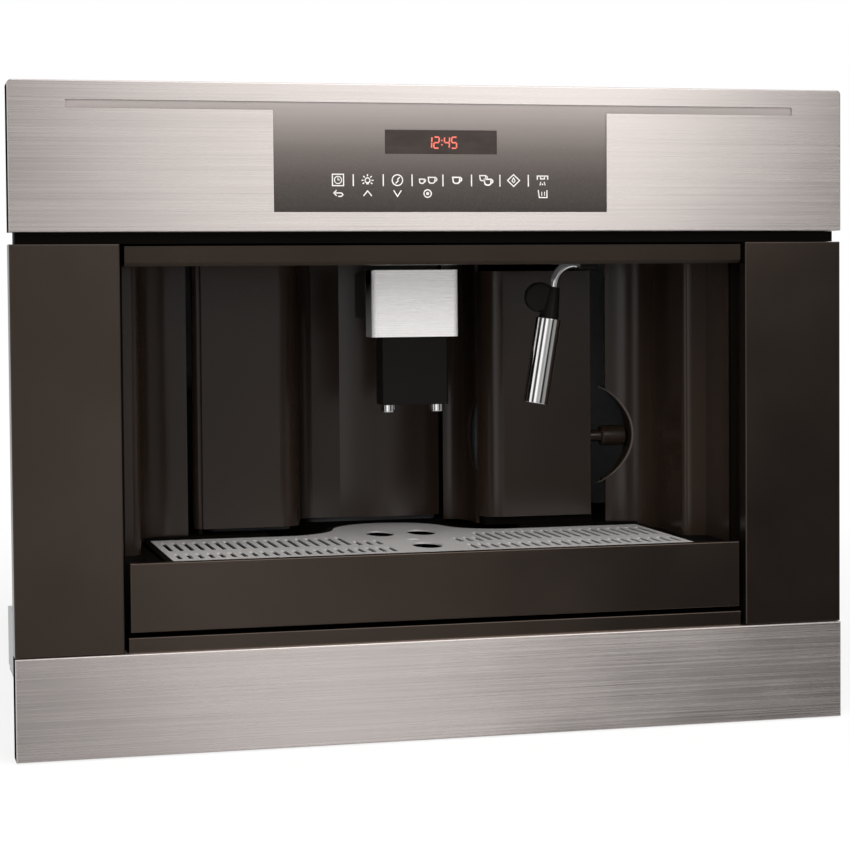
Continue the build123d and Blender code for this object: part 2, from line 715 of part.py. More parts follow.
# ---------------------------------------------------------------- cup bay
def cheek_wall(end):
    """Plan of a bay side: outer wall, step, inner wall, round corner and back surface to end."""
    corner_x = CHEEK_HALF - CHEEK_R
    corner_d = BACK_D - CHEEK_R
    return plan_face(
        (BAY_HALF, LINER_D),
        (BAY_HALF, CHEEK_STEP_D),
        (CHEEK_HALF + STEP_R, CHEEK_STEP_D + STEP_R, STEP_R, 270, 180),
        (corner_x, corner_d, CHEEK_R, 0, 90),
        (end, BACK_D),
        (end, BACK_D + WALL),
        (corner_x, corner_d, CHEEK_R + WALL, 90, 0),
        (CHEEK_HALF + STEP_R, CHEEK_STEP_D + STEP_R, STEP_R - WALL, 180, 270),
        (LINER_HALF, CHEEK_STEP_D + WALL),
        (LINER_HALF, LINER_D))


def bay_cheek(end):
    wall = upright(cheek_wall(end), BAY_FLOOR, DECK_Z)
    back = BACK_D + WALL + 1
    step = slab(end - 1, LINER_HALF, REAR_FLOOR_D, back, BAY_FLOOR - 1, REAR_FLOOR)
    return wall - step


def bay_cheek_left():
    return mirror(bay_cheek(DOOR_SLOT - DOOR_LEFT), about=Plane.YZ)


def bay_cheek_right():
    end = TANK_RIGHT + TANK_SLOT
    back = BACK_D + SCOOP_DEPTH
    cheek = bay_cheek(end)
    collar = rod_d(SCOOP_X, BACK_D - CHEEK_R, back, SCOOP_Z, SCOOP_R + SCOOP_RIM)
    room = upright(plan_face(
        (end, BACK_D + WALL),
        (CHEEK_HALF - CHEEK_R, BACK_D - CHEEK_R, CHEEK_R + WALL, 90, 0),
        (CHEEK_HALF + WALL, back),
        (end, back)), BAY_FLOOR, DECK_Z)
    return cheek + (collar & room) - rod_d(SCOOP_X, BACK_D - CHEEK_R, back + 1, SCOOP_Z, SCOOP_R)


def bay_wall_right():
    """Fixed wall between the service door and the water tank, with the left finger scoop."""
    lip_d = SHOULDER_D - 1
    angle = degrees(acos((DOOR_RIGHT + DOOR_GAP - COVE_X) / COVE_R))
    wall = plan_face(
        (COVE_X, COVE_D, COVE_R, angle, 0),
        (RECESS_X, lip_d),
        (RECESS_X + WALL, lip_d),
        (COVE_X, COVE_D, COVE_R + WALL, 0, angle))
    wall = upright(wall, REAR_FLOOR, DECK_Z)
    return wall - rod_x(RECESS_X - 4, RECESS_X + WALL + 1, SIDE_SCOOP_D, SCOOP_Z, SIDE_SCOOP_R)


def raised_floor(x0, x1, d0):
    d1 = BULKHEAD_D
    shell = slab(x0, x1, d0, d1, RUNNER, REAR_FLOOR)
    return shell - slab(x0 + WALL, x1 - WALL, d0 + WALL, d1 - WALL, 0, REAR_FLOOR - WALL)


def tray_shelf():
    """Floor of the bay: runner for the tray, its guides, and the raised floor behind it."""
    base = slab(-LINER_HALF, LINER_HALF, LINER_D, BULKHEAD_D, RUNNER - WALL, RUNNER)
    guide = slab(GUIDE_X, LINER_HALF, LINER_D, REAR_FLOOR_D, RUNNER, BAY_FLOOR)
    guide -= slab(GUIDE_X + WALL, BAY_HALF, LINER_D + WALL, REAR_FLOOR_D - WALL,
                  0, BAY_FLOOR - WALL)
    rear = raised_floor(REAR_FLOOR_HALF, LINER_HALF, REAR_FLOOR_D)
    middle = raised_floor(-REAR_FLOOR_HALF, REAR_FLOOR_HALF, MID_FLOOR_D)
    boss = rod_z(HINGE_X, HINGE_D, REAR_FLOOR - WALL - BOSS_H, REAR_FLOOR, BARREL_R)
    shelf = base + both_sides(guide) + both_sides(rear) + middle + boss
    return shelf - rod_z(HINGE_X, HINGE_D, 0, REAR_FLOOR + 1, PIN_R + FIT)


def upper_deck():
    half = HOUSE_HALF - FLANGE - CLEAR
    deck = slab(-half, half, LINER_D, REAR_D - PLATE - CLEAR, DECK_Z, DECK_TOP)
    deck -= rod_z(HINGE_X, HINGE_D, 0, FRONT_H, PIN_R + FIT)
    deck -= rod_z(GRINDER_X, GRINDER_D, 0, FRONT_H, DECK_SHAFT_R)
    deck -= rod_z(FUNNEL_X, FUNNEL_D, 0, FRONT_H, FUNNEL_TUBE_R + FIT)
    for x, d in ((WAND_HOSE_X, WAND_D), (BREW_HOSE_X, BREW_HOSE_D), (PUMP_OUT_X, PUMP_MID)):
        deck -= rod_z(x, d, 0, FRONT_H, HOSE_R + FIT)
    return deck


def lamp_lens():
    lens = slab(LENS_X - LENS_W / 2, LENS_X + LENS_W / 2, LENS_D - LENS_L / 2, LENS_D + LENS_L / 2,
                DECK_Z - LENS_T, DECK_Z)
    return fillet(lens.faces().sort_by(Axis.Z)[0].edges(), LENS_T / 3)


# ---------------------------------------------------------------- service door
def door_wall():
    """Plan of the door: flat part, shoulder, recess with a soft belly, free edge."""
    chord = DOOR_RIGHT - BELLY_X0
    belly_r = (chord ** 2 / 4 + DOOR_BELLY ** 2) / (2 * DOOR_BELLY)
    belly_x = (BELLY_X0 + DOOR_RIGHT) / 2
    belly_d = RECESS_D - DOOR_BELLY + belly_r
    spread = degrees(asin(chord / 2 / belly_r))
    back = RECESS_D + DOOR_WALL
    return plan_face(
        (DOOR_LEFT, BACK_D),
        (-SHOULDER_X, SHOULDER_D, SHOULDER_R, -90, 0),
        (-COVE_X, COVE_D, COVE_R, 180, 90),
        (belly_x, belly_d, belly_r, -90 - spread, -90 + spread),
        (DOOR_RIGHT, back),
        (-COVE_X, COVE_D, COVE_R + DOOR_WALL, 90, 180),
        (-SHOULDER_X, SHOULDER_D, SHOULDER_R - DOOR_WALL, 0, -90),
        (DOOR_LEFT, BACK_D + DOOR_WALL))


def door_shell():
    wall = upright(door_wall(), DOOR_Z, DOOR_TOP)
    barrel = rod_z(HINGE_X, HINGE_D, DOOR_Z, DOOR_TOP, BARREL_R)
    web = slab(DOOR_LEFT, HINGE_X + BARREL_R, BACK_D, HINGE_D, DOOR_Z, DOOR_TOP)
    neck_z = COVER_TOP - NECK_H
    neck_top = COVER_TOP - COVER_T
    half = NECK_W / 2
    neck = slab(SPOUT_X - half, SPOUT_X + half, COVER_BACK, RECESS_D + 1, neck_z, neck_top)
    half -= DOOR_WALL
    duct = slab(SPOUT_X - half, SPOUT_X + half, COVER_BACK - 1, RECESS_D - DOOR_BELLY,
                neck_z + DOOR_WALL, neck_top - DOOR_WALL)
    door = wall + barrel + web + neck - duct
    for z0, z1 in ((DOOR_Z - 1, DOOR_Z + PIN_IN_DOOR), (DOOR_TOP - PIN_IN_DOOR, DOOR_TOP + 1)):
        door -= rod_z(HINGE_X, HINGE_D, z0, z1, PIN_R)
    return door


def door_pins():
    low = rod_z(HINGE_X, HINGE_D, REAR_FLOOR - PIN_OUT, DOOR_Z + PIN_IN_DOOR, PIN_R)
    high = rod_z(HINGE_X, HINGE_D, DOOR_TOP - PIN_IN_DOOR, DECK_Z + PIN_OUT, PIN_R)
    return compound_of(low, high)


def spout_cover():
    outer = slab(-COVER_W / 2, COVER_W / 2, COVER_D, COVER_BACK, COVER_Z, COVER_TOP)
    outer = fillet(outer.edges().filter_by(Axis.Z), COVER_R)
    half = COVER_W / 2 - COVER_T
    low = COVER_Z - 1
    inner = slab(-half, half, COVER_D + COVER_T, COVER_BACK - COVER_T, low, COVER_TOP - COVER_T)
    inner = fillet(inner.edges().filter_by(Axis.Z), COVER_R - COVER_T)
    rib = slab(SPOUT_W / 2 + CLEAR, half + COVER_T / 2, SPOUT_MID - GUIDE_RIB_L / 2,
               SPOUT_MID + GUIDE_RIB_L / 2, COVER_Z, COVER_TOP - COVER_T)
    return Pos(SPOUT_X, 0, 0) * (outer - inner + both_sides(rib))


# ---------------------------------------------------------------- spout
def spout_body():
    top = COVER_Z + SPOUT_IN
    outer = slab(-SPOUT_W / 2, SPOUT_W / 2, SPOUT_D, SPOUT_D + SPOUT_L, SPOUT_Z, top)
    outer = fillet(outer.edges().filter_by(Axis.Z), COVER_R - COVER_T)
    outer = fillet(outer.faces().sort_by(Axis.Z)[0].edges(), EDGE_R)
    inner = slab(-SPOUT_W / 2 + SPOUT_T, SPOUT_W / 2 - SPOUT_T, SPOUT_D + SPOUT_T,
                 SPOUT_D + SPOUT_L - SPOUT_T, SPOUT_Z + SPOUT_T, top + 1)
    body = outer - inner
    for x in (-NOZZLE_X, NOZZLE_X):
        body -= rod_z(x, SPOUT_MID, SPOUT_Z - 1, SPOUT_Z + SPOUT_T + 1, NOZZLE_BORE)
    return Pos(SPOUT_X, 0, 0) * body


def spout_nozzles():
    nozzles = []
    for x in (SPOUT_X - NOZZLE_X, SPOUT_X + NOZZLE_X):
        tube = rod_z(x, SPOUT_MID, SPOUT_Z - NOZZLE_L, SPOUT_Z, NOZZLE_R)
        tube -= rod_z(x, SPOUT_MID, SPOUT_Z - NOZZLE_L - 1, SPOUT_Z + 1, NOZZLE_BORE)
        nozzles.append(fillet(tube.faces().sort_by(Axis.Z)[0].edges(), EDGE_R))
    return compound_of(*nozzles)


# ---------------------------------------------------------------- drip tray
def grille_outline(grow):
    """Plan of the cup grille: straight front, rear edge swinging out to a bulge."""
    rise = GRILLE_PEAK - GRILLE_D1
    bend_r = (BULGE_HALF ** 2 + rise ** 2) / (4 * rise)
    turn = degrees(asin(BULGE_HALF / 2 / bend_r))
    outline = plan_face(
        (-GRILLE_HALF, GRILLE_D0),
        (GRILLE_HALF, GRILLE_D0),
        (GRILLE_HALF, GRILLE_D1),
        (BULGE_HALF, GRILLE_D1 + bend_r, bend_r, -90, -90 - turn),
        (0, GRILLE_PEAK - bend_r, bend_r, 90 - turn, 90 + turn),
        (-BULGE_HALF, GRILLE_D1 + bend_r, bend_r, -90 + turn, -90),
        (-GRILLE_HALF, GRILLE_D1))
    return offset(outline, amount=grow, kind=Kind.INTERSECTION) if grow else outline


def slot_xs():
    xs = []
    x = SLOT_X0
    while x <= GRILLE_HALF - SLOT_END:
        xs.append(x)
        x += SLOT_PITCH
    return xs


def grille_slot(x, d0, d1):
    return Pos(x, FRONT_Y + (d0 + d1) / 2) * SlotOverall(d1 - d0, SLOT_W, rotation=90)


def cup_grille():
    openings = Sketch()
    front = GRILLE_D0 + SLOT_FRONT
    for x in slot_xs():
        short = x < SHORT_SLOT_X
        length = SHORT_SLOT_L if short else BACK_SLOT_L
        rear = GRILLE_D1 - (SHORT_BACK if short else SLOT_BACK)
        for side in (-x, x):
            openings += grille_slot(side, front, front + FRONT_SLOT_L)
            openings += grille_slot(side, rear - length, rear)
    pair_d = GRILLE_D1 - PAIR_BACK
    for x, d in ((-PAIR_X, pair_d), (PAIR_X, pair_d), (0, SINGLE_D)):
        openings += Pos(x, FRONT_Y + d) * Ellipse(HOLE_W / 2, HOLE_L / 2)
    openings += Pos(0, FRONT_Y + FLOAT_D) * Circle(FLOAT_HOLE_R)
    return upright(grille_outline(0) - openings, GRILLE_LOW, GRILLE_Z)


def drip_tray_tub():
    low = TRAY_FLOOR
    outer = upright(grille_outline(TRAY_RIM), TRAY_Z, GRILLE_Z)
    basin = upright(grille_outline(TRAY_RIM - TRAY_WALL), low, GRILLE_LOW - LEDGE_H)
    mouth = upright(grille_outline(-TRAY_LEDGE), low, GRILLE_Z + 1)
    seat = upright(grille_outline(CLEAR), GRILLE_LOW, GRILLE_Z + 1)
    tub = outer - basin - mouth - seat
    top = low + FLOAT_GUIDE_H
    guide = rod_z(0, FLOAT_D, low, top, FLOAT_R + FIT + FLOAT_GUIDE_T)
    return tub + guide - rod_z(0, FLOAT_D, low, top + 1, FLOAT_R + FIT)


def drip_tray_front():
    front = slab(-TRAY_FRONT_HALF, TRAY_FRONT_HALF, TRAY_SET, GRILLE_D0 - TRAY_RIM,
                 TRAY_LOW, TRAY_TOP)
    return fillet(front.faces().sort_by(Axis.Y)[0].edges(), EDGE_R)


def tray_float():
    body = rod_z(0, FLOAT_D, TRAY_FLOOR + CLEAR, GRILLE_Z - FLOAT_DROP, FLOAT_R)
    return fillet(body.faces().sort_by(Axis.Z)[-1].edges(), 1.0)


# ---------------------------------------------------------------- water tank
def tank_front():
    """Front of the tank: rounded to the left, folded back on the right as a grip."""
    lip = BACK_D + TANK_LIP
    inner = TANK_RIGHT - TANK_FRONT_T
    shell = upright(plan_face(
        (SHOULDER_X, SHOULDER_D, SHOULDER_R, 190, 270),
        (TANK_RIGHT, BACK_D),
        (TANK_RIGHT, lip),
        (inner, lip),
        (inner, BACK_D + TANK_FRONT_T),
        (SHOULDER_X, SHOULDER_D, SHOULDER_R - TANK_FRONT_T, 270, 190)),
        TANK_FRONT_Z, TANK_FRONT_TOP)
    pin_d = BACK_D + TANK_PIN_R
    pin_x = TANK_RIGHT + PIN_NECK_L
    neck = rod_x(TANK_RIGHT - 1, pin_x + 1, pin_d, TANK_PIN_Z, PIN_NECK_R)
    pin = rod_x(pin_x, TANK_RIGHT + TANK_PIN_L, pin_d, TANK_PIN_Z, TANK_PIN_R)
    pin = fillet(pin.edges().filter_by(GeomType.CIRCLE), 1.5)
    return shell + neck + pin


def tank_solid(inset, z0, z1):
    body = slab(TANK_LEFT + inset, TANK_RIGHT - TANK_FRONT_T - TANK_SET - inset,
                TANK_D0 + inset, TANK_BACK - inset, z0, z1)
    corner = body.edges().filter_by(Axis.Z).sort_by(Axis.X)[:2].sort_by(Axis.Y)[0]
    return fillet(corner, TANK_R - inset)


def water_tank():
    body = tank_solid(0, TANK_FLOOR, TANK_TOP)
    body -= tank_solid(TANK_T, TANK_FLOOR + TANK_T, TANK_TOP + 1)
    spigot_end = TANK_BACK + SPIGOT_L
    spigot = rod_d(TANK_MID, TANK_BACK, spigot_end, SPIGOT_Z, SPIGOT_R)
    front_d = BACK_D + TANK_FRONT_T
    bracket = slab(TANK_MID - BRACKET_W / 2, TANK_MID + BRACKET_W / 2, front_d, front_d + BRACKET_T,
                   TANK_TOP - BRACKET_DOWN - BRACKET_H, TANK_TOP - BRACKET_DOWN)
    bore = rod_d(TANK_MID, TANK_BACK - TANK_T - 1, spigot_end + 1, SPIGOT_Z, SPIGOT_R / 2)
    return body + spigot + bracket - bore


def tank_bay():
    """Compartment of the tank: floor, back with the outlet socket, and two side walls."""
    right = TANK_RIGHT + TANK_SIDE_GAP
    left = RECESS_X + WALL - TANK_SET
    back = TANK_BACK + TANK_SET
    floor = slab(left + TANK_BAY_T, right, TANK_D0, BULKHEAD_D, REAR_FLOOR, TANK_BAY_FLOOR)
    walls = slab(right, right + TANK_BAY_T, TANK_BAY_D0, BULKHEAD_D, REAR_FLOOR, DECK_Z)
    walls += slab(left, left + TANK_BAY_T, RECESS_D + WALL + TANK_SET, BULKHEAD_D,
                  REAR_FLOOR, DECK_Z)
    walls += slab(left, right, back, back + TANK_BAY_T, TANK_BAY_FLOOR, DECK_Z)
    boss = rod_d(TANK_MID, back, BULKHEAD_D, SPIGOT_Z, SPIGOT_R + SPIGOT_WALL)
    barb = rod_d(TANK_MID, BULKHEAD_D, BARB_END, SPIGOT_Z, HOSE_R)
    socket = rod_d(TANK_MID, back - 1, TANK_BACK + SPIGOT_L + 1, SPIGOT_Z, SPIGOT_R + FIT)
    bore = rod_d(TANK_MID, back, BARB_END + 1, SPIGOT_Z, HOSE_BORE)
    return floor + walls + boss + barb - socket - bore


# ---------------------------------------------------------------- steam wand
def wand_point(s, across=0.0):
    """Point s down the wand axis from its corner, and across it to the left."""
    t = radians(WAND_TILT)
    x = WAND_CORNER_X - s * sin(t) - across * cos(t)
    return x, WAND_Z - s * cos(t) + across * sin(t)


def on_wand(s, length):
    """Placement of a turned piece centred length / 2 further down the wand axis."""
    x, z = wand_point(s + length / 2)
    return at(x, WAND_D, z) * Rot(0, WAND_TILT, 0)


def wand_pipe():
    x, z = wand_point(SLEEVE_TO + PIPE_IN)
    y = FRONT_Y + WAND_D
    route = FilletPolyline((PIPE_X0, y, FOOT_GAP + WAND_Z), (WAND_CORNER_X, y, FOOT_GAP + WAND_Z),
                           (x, y, FOOT_GAP + z), radius=PIPE_BEND_R)
    section = Plane(origin=route @ 0, z_dir=route % 0) * Circle(PIPE_R)
    return sweep(section, path=route)


def wand_sleeve():
    grip = on_wand(SLEEVE_FROM, SLEEVE_TO - SLEEVE_FROM)
    grip = grip * Cone(SLEEVE_R1, SLEEVE_R0, SLEEVE_TO - SLEEVE_FROM)
    stub = on_wand(SLEEVE_TO, STUB_TO - SLEEVE_TO) * Cylinder(STUB_R, STUB_TO - SLEEVE_TO)
    x, z = wand_point(PAD_DOWN, PAD_OUT)
    pad = rod_d(x, WAND_D - PAD_T / 2, WAND_D + PAD_T / 2, z, PAD_R)
    pad = fillet(pad.edges().filter_by(GeomType.CIRCLE), 2.0)
    bore_l = SLEEVE_TO + PIPE_IN - SLEEVE_FROM + 1
    bore = on_wand(SLEEVE_FROM - 1, bore_l) * Cylinder(PIPE_R + FIT, bore_l)
    channel_l = STUB_TO + 1 - SLEEVE_TO
    channel = on_wand(SLEEVE_TO, channel_l) * Cylinder(STEAM_R, channel_l)
    return grip + stub + pad - bore - channel


def froth_sheath():
    start = SLEEVE_TO + CLEAR
    length = SHEATH_TO - start
    tube = on_wand(start, length) * Cylinder(SHEATH_R, length)
    tube = fillet(tube.edges().filter_by(GeomType.CIRCLE), 0.6)
    bore = on_wand(start - 1, SHEATH_BORE + 1) * Cylinder(STUB_R + FIT, SHEATH_BORE + 1)
    mouth = on_wand(start + SHEATH_BORE + SHEATH_T, length) * Cylinder(SHEATH_R - SHEATH_T, length)
    hole = on_wand(start, length) * Cylinder(STEAM_R, length)
    return tube - bore - mouth - hole


def wand_socket():
    block = slab(SOCKET_X0, SOCKET_X1, WAND_D - SOCKET_L / 2, WAND_D + SOCKET_L / 2,
                 DECK_Z - SOCKET_H, DECK_Z)
    block = fillet(block.edges().filter_by(Axis.X).group_by(Axis.Z)[0], 3.0)
    bore = rod_x(SOCKET_X0 - 1, PIPE_X0 + CLEAR, WAND_D, WAND_Z, PIPE_R + FIT)
    return block - bore


# ---------------------------------------------------------------- housing
def chassis_base():
    half = HOUSE_HALF
    rear = REAR_D - PLATE
    pan = slab(-half, half, LINER_D, rear, PLATE_Z0, FLOOR_TOP)
    inner = half - FLANGE - CLEAR
    pan += slab(-inner, inner, LINER_D, LINER_D + PLATE, PLATE_Z0, PLATE_Z0 + FLANGE)
    pan += slab(-inner, inner, rear - PLATE, rear, PLATE_Z0, PLATE_Z0 + FLANGE)
    notch = slab(inner, half + 1, rear - PLATE, rear + 1, 0, FRONT_H)
    front_notch = slab(inner, half + 1, LINER_D - 1, LINER_D + PLATE, 0, FRONT_H)
    return pan - both_sides(notch) - both_sides(front_notch)


def side_plate_right():
    x0 = HOUSE_HALF
    plate = slab(x0, x0 + PLATE, LINER_D, REAR_D, PLATE_Z0, PLATE_Z1)
    plate += slab(x0 - FLANGE, x0, LINER_D, LINER_D + PLATE, PLATE_Z0, PLATE_Z1)
    plate += slab(x0 - FLANGE, x0, REAR_D - PLATE, REAR_D, PLATE_Z0, PLATE_Z1)
    for z in SCREW_ZS:
        plate -= rod_d(x0 - FLANGE / 2, REAR_D - SCREW_L, REAR_D + 1, z, SCREW_R + FIT)
    return plate


def vent_row(x0, z0, count):
    vents = []
    for number in range(count):
        x = x0 + number * VENT_PITCH
        vents.append(slab(x, x + VENT_W, REAR_D - 1, REAR_FACE + 1, z0, z0 + VENT_L))
    return vents


def rear_cover():
    cover = slab(-COVER_HALF, COVER_HALF, REAR_D, REAR_FACE, PLATE_Z0, HOUSE_TOP)
    for x in (-COVER_HALF + SPACER_INSET, COVER_HALF - SPACER_INSET):
        for z in SPACER_ZS:
            cover += rod_d(x, REAR_FACE, DEPTH, z, SPACER_R)
    for x in (-HOUSE_HALF + FLANGE / 2, HOUSE_HALF - FLANGE / 2):
        for z in SCREW_ZS:
            cover -= rod_d(x, REAR_D - 1, REAR_FACE + 1, z, SCREW_R + FIT)
    cover -= slab(INLET_X0 + INLET_LAND, INLET_X1 - INLET_LAND, REAR_D - 1, REAR_FACE + 1,
                  INLET_Z0 + INLET_LAND, INLET_Z1 - INLET_LAND)
    for z in REAR_VENT_ZS:
        for vent in vent_row(REAR_VENT_X, z, VENT_COUNT):
            cover -= vent
    return cover


def cover_screws():
    screws = []
    for x in (-HOUSE_HALF + FLANGE / 2, HOUSE_HALF - FLANGE / 2):
        for z in SCREW_ZS:
            d = REAR_FACE
            head = rod_d(x, d, d + SCREW_HEAD_H, z, SCREW_HEAD_R)
            head = fillet(head.faces().sort_by(Axis.Y)[-1].edges(), 0.6)
            shank = rod_d(x, d - SCREW_L, d, z, SCREW_R)
            slot = slab(x - SCREW_HEAD_R, x + SCREW_HEAD_R, d + SCREW_HEAD_H / 2,
                        d + SCREW_HEAD_H + 1, z - SCREW_SLOT / 2, z + SCREW_SLOT / 2)
            screws.append(head + shank - slot)
    return compound_of(*screws)


def lid_ears(x0, x1, hinge_d):
    """Two ears on the top cover that hold a lid's hinge stubs."""
    z = HOUSE_TOP + LID_LIFT + LID_BARREL_R
    ears = Part()
    for low in (x0 - EAR_GAP - EAR_T, x1 + EAR_GAP):
        ear = slab(low, low + EAR_T, hinge_d - EAR_R, hinge_d + EAR_R, HOUSE_TOP, z)
        ear += rod_x(low, low + EAR_T, hinge_d, z, EAR_R)
        ears += ear - rod_x(low - 1, low + EAR_T + 1, hinge_d, z, LID_PIN_R + FIT)
    return ears


def lid_plate(x0, x1, d0, hinge_d):
    """A lid with a barrel along its rear edge and a stub at each end of it."""
    low = HOUSE_TOP + LID_LIFT
    z = low + LID_BARREL_R
    plate = slab(x0, x1, d0, hinge_d, low, low + LID_T)
    plate = fillet(plate.edges().filter_by(Axis.Z).group_by(Axis.Y)[0], LID_R)
    stub = EAR_GAP + EAR_T
    barrel = rod_x(x0, x1, hinge_d, z, LID_BARREL_R)
    pin = rod_x(x0 - stub, x1 + stub, hinge_d, z, LID_PIN_R)
    return plate + barrel + pin


def hopper_lid_box():
    return (HOPPER_X0 - LID_OVER / 2, HOPPER_X1 + LID_OVER / 2,
            HOPPER_D0 - LID_OVER, HOPPER_D1 + LID_OVER)


def funnel_lid_box():
    half = FUNNEL_W / 2 + LID_OVER
    deep = FUNNEL_L / 2 + LID_OVER
    return FUNNEL_X - half, FUNNEL_X + half, FUNNEL_D - deep, FUNNEL_D + deep


def top_cover():
    cover = slab(-COVER_HALF, COVER_HALF, LINER_D, REAR_D, PLATE_Z1, HOUSE_TOP)
    cover -= hopper_inside(PLATE_Z1 - 1, HOUSE_TOP + 1)
    cover -= funnel_mouth(PLATE_Z1 - 1, HOUSE_TOP + 1)
    cover -= rod_z(KNOB_X, KNOB_D, PLATE_Z1 - 1, HOUSE_TOP + 1, KNOB_SHAFT_R + FIT)
    for x0, x1, d0, d1 in (hopper_lid_box(), funnel_lid_box()):
        cover += lid_ears(x0, x1, d1)
    vent_d = REAR_D - TOP_VENT_BACK - VENT_L
    for number in range(VENT_COUNT):
        x = TOP_VENT_X + number * VENT_PITCH
        cover -= slab(x, x + VENT_W, vent_d, vent_d + VENT_L, PLATE_Z1 - 1, HOUSE_TOP + 1)
    return cover


def bulkhead():
    plate = slab(-HOUSE_HALF, HOUSE_HALF, BULKHEAD_D, BULKHEAD_BACK, FLOOR_TOP, DECK_Z)
    return plate - rod_d(TANK_MID, BULKHEAD_D - 1, BULKHEAD_BACK + 1, SPIGOT_Z, HOSE_R)


# ---------------------------------------------------------------- coffee making parts
def hopper_inside(z0, z1):
    return slab(HOPPER_X0 + HOPPER_T, HOPPER_X1 - HOPPER_T, HOPPER_D0 + HOPPER_T,
                HOPPER_D1 - HOPPER_T, z0, z1)


def bean_hopper():
    box = slab(HOPPER_X0, HOPPER_X1, HOPPER_D0, HOPPER_D1, HOPPER_Z, PLATE_Z1)
    box -= hopper_inside(HOPPER_Z + HOPPER_T, PLATE_Z1 + 1)
    return box - rod_z(GRINDER_X, GRINDER_D, HOPPER_Z - 1, HOPPER_Z + HOPPER_T + 1, HOPPER_OUTLET_R)


def grinder_housing():
    body = rod_z(GRINDER_X, GRINDER_D, DECK_TOP, HOPPER_Z, GRINDER_R)
    body -= rod_z(GRINDER_X, GRINDER_D, CHAMBER_FLOOR, HOPPER_Z + 1, CHAMBER_R)
    return body - rod_z(GRINDER_X, GRINDER_D, 0, FRONT_H, SHAFT_R + FIT)


def grinder_burr():
    low = CHAMBER_FLOOR + CLEAR
    burr = at(GRINDER_X, GRINDER_D, low + BURR_H / 2) * Cone(BURR_R, BURR_TOP_R, BURR_H)
    for number in range(BURR_CUTS):
        turn = Rot(0, 0, number * 360.0 / BURR_CUTS)
        cut = turn * Pos(BURR_R, 0, 0) * Box(BURR_R, BURR_CUT_W, BURR_H + 2)
        burr -= at(GRINDER_X, GRINDER_D, low + BURR_H) * cut
    return burr + rod_z(GRINDER_X, GRINDER_D, DECK_Z - SHAFT_IN, low, SHAFT_R)


def grinder_motor():
    motor = rod_z(GRINDER_X, GRINDER_D, DECK_Z - MOTOR_L, DECK_Z, MOTOR_R)
    motor = fillet(motor.faces().sort_by(Axis.Z)[0].edges(), MOTOR_EDGE)
    low = DECK_Z - SHAFT_IN - CLEAR
    return motor - rod_z(GRINDER_X, GRINDER_D, low, DECK_Z + 1, SHAFT_R + FIT)


def funnel_mouth(z0, z1, grow=0):
    half = FUNNEL_W / 2 + grow
    deep = FUNNEL_L / 2 + grow
    return slab(FUNNEL_X - half, FUNNEL_X + half, FUNNEL_D - deep, FUNNEL_D + deep, z0, z1)


def coffee_funnel():
    low = PLATE_Z1 - FUNNEL_DEEP
    outer = funnel_mouth(low, PLATE_Z1, FUNNEL_T)
    inner = funnel_mouth(low + FUNNEL_T, PLATE_Z1 + 1)
    tube = rod_z(FUNNEL_X, FUNNEL_D, INFUSER_TOP, low, FUNNEL_TUBE_R)
    bore = rod_z(FUNNEL_X, FUNNEL_D, INFUSER_TOP - 1, low + FUNNEL_T + 1, FUNNEL_TUBE_R - FUNNEL_T)
    return outer - inner + tube - bore


def infuser_frame():
    block = slab(INFUSER_X0, INFUSER_X1, INFUSER_D0, INFUSER_D1, REAR_FLOOR, INFUSER_TOP)
    block = fillet(block.edges().filter_by(Axis.Z), INFUSER_R)
    block -= rod_z(FUNNEL_X, FUNNEL_D, INFUSER_BORE_Z, INFUSER_TOP + 1, INFUSER_BORE_R)
    block -= rod_z(FUNNEL_X, FUNNEL_D, ROD_LOW - CLEAR, INFUSER_TOP, ROD_R + FIT)
    return block


def infuser_piston():
    head = rod_z(FUNNEL_X, FUNNEL_D, PISTON_Z, PISTON_Z + PISTON_H, INFUSER_BORE_R - FIT)
    return head + rod_z(FUNNEL_X, FUNNEL_D, ROD_LOW, PISTON_Z, ROD_R)


def grounds_container():
    top = REAR_FLOOR + GROUNDS_H
    d0 = BACK_D + GROUNDS_SET
    d1 = BULKHEAD_D - INFUSER_BACK
    box = slab(GROUNDS_X0, GROUNDS_X1, d0, d1, REAR_FLOOR, top)
    box = fillet(box.edges().filter_by(Axis.Z), GROUNDS_R)
    inner = slab(GROUNDS_X0 + GROUNDS_T, GROUNDS_X1 - GROUNDS_T, d0 + GROUNDS_T, d1 - GROUNDS_T,
                 REAR_FLOOR + GROUNDS_T, top + 1)
    return box - fillet(inner.edges().filter_by(Axis.Z), GROUNDS_R - GROUNDS_T)


def boiler():
    body = slab(BOILER_X0, BOILER_X1, BOILER_D0, BOILER_D1, DECK_TOP, DECK_TOP + BOILER_H)
    return fillet(body.edges().filter_by(Axis.Z), BOILER_R)


def pump():
    body = slab(PUMP_X0, PUMP_X1, PUMP_D0, PUMP_D1, FLOOR_TOP, PUMP_TOP)
    return fillet(body.edges().filter_by(Axis.Y), PUMP_R)


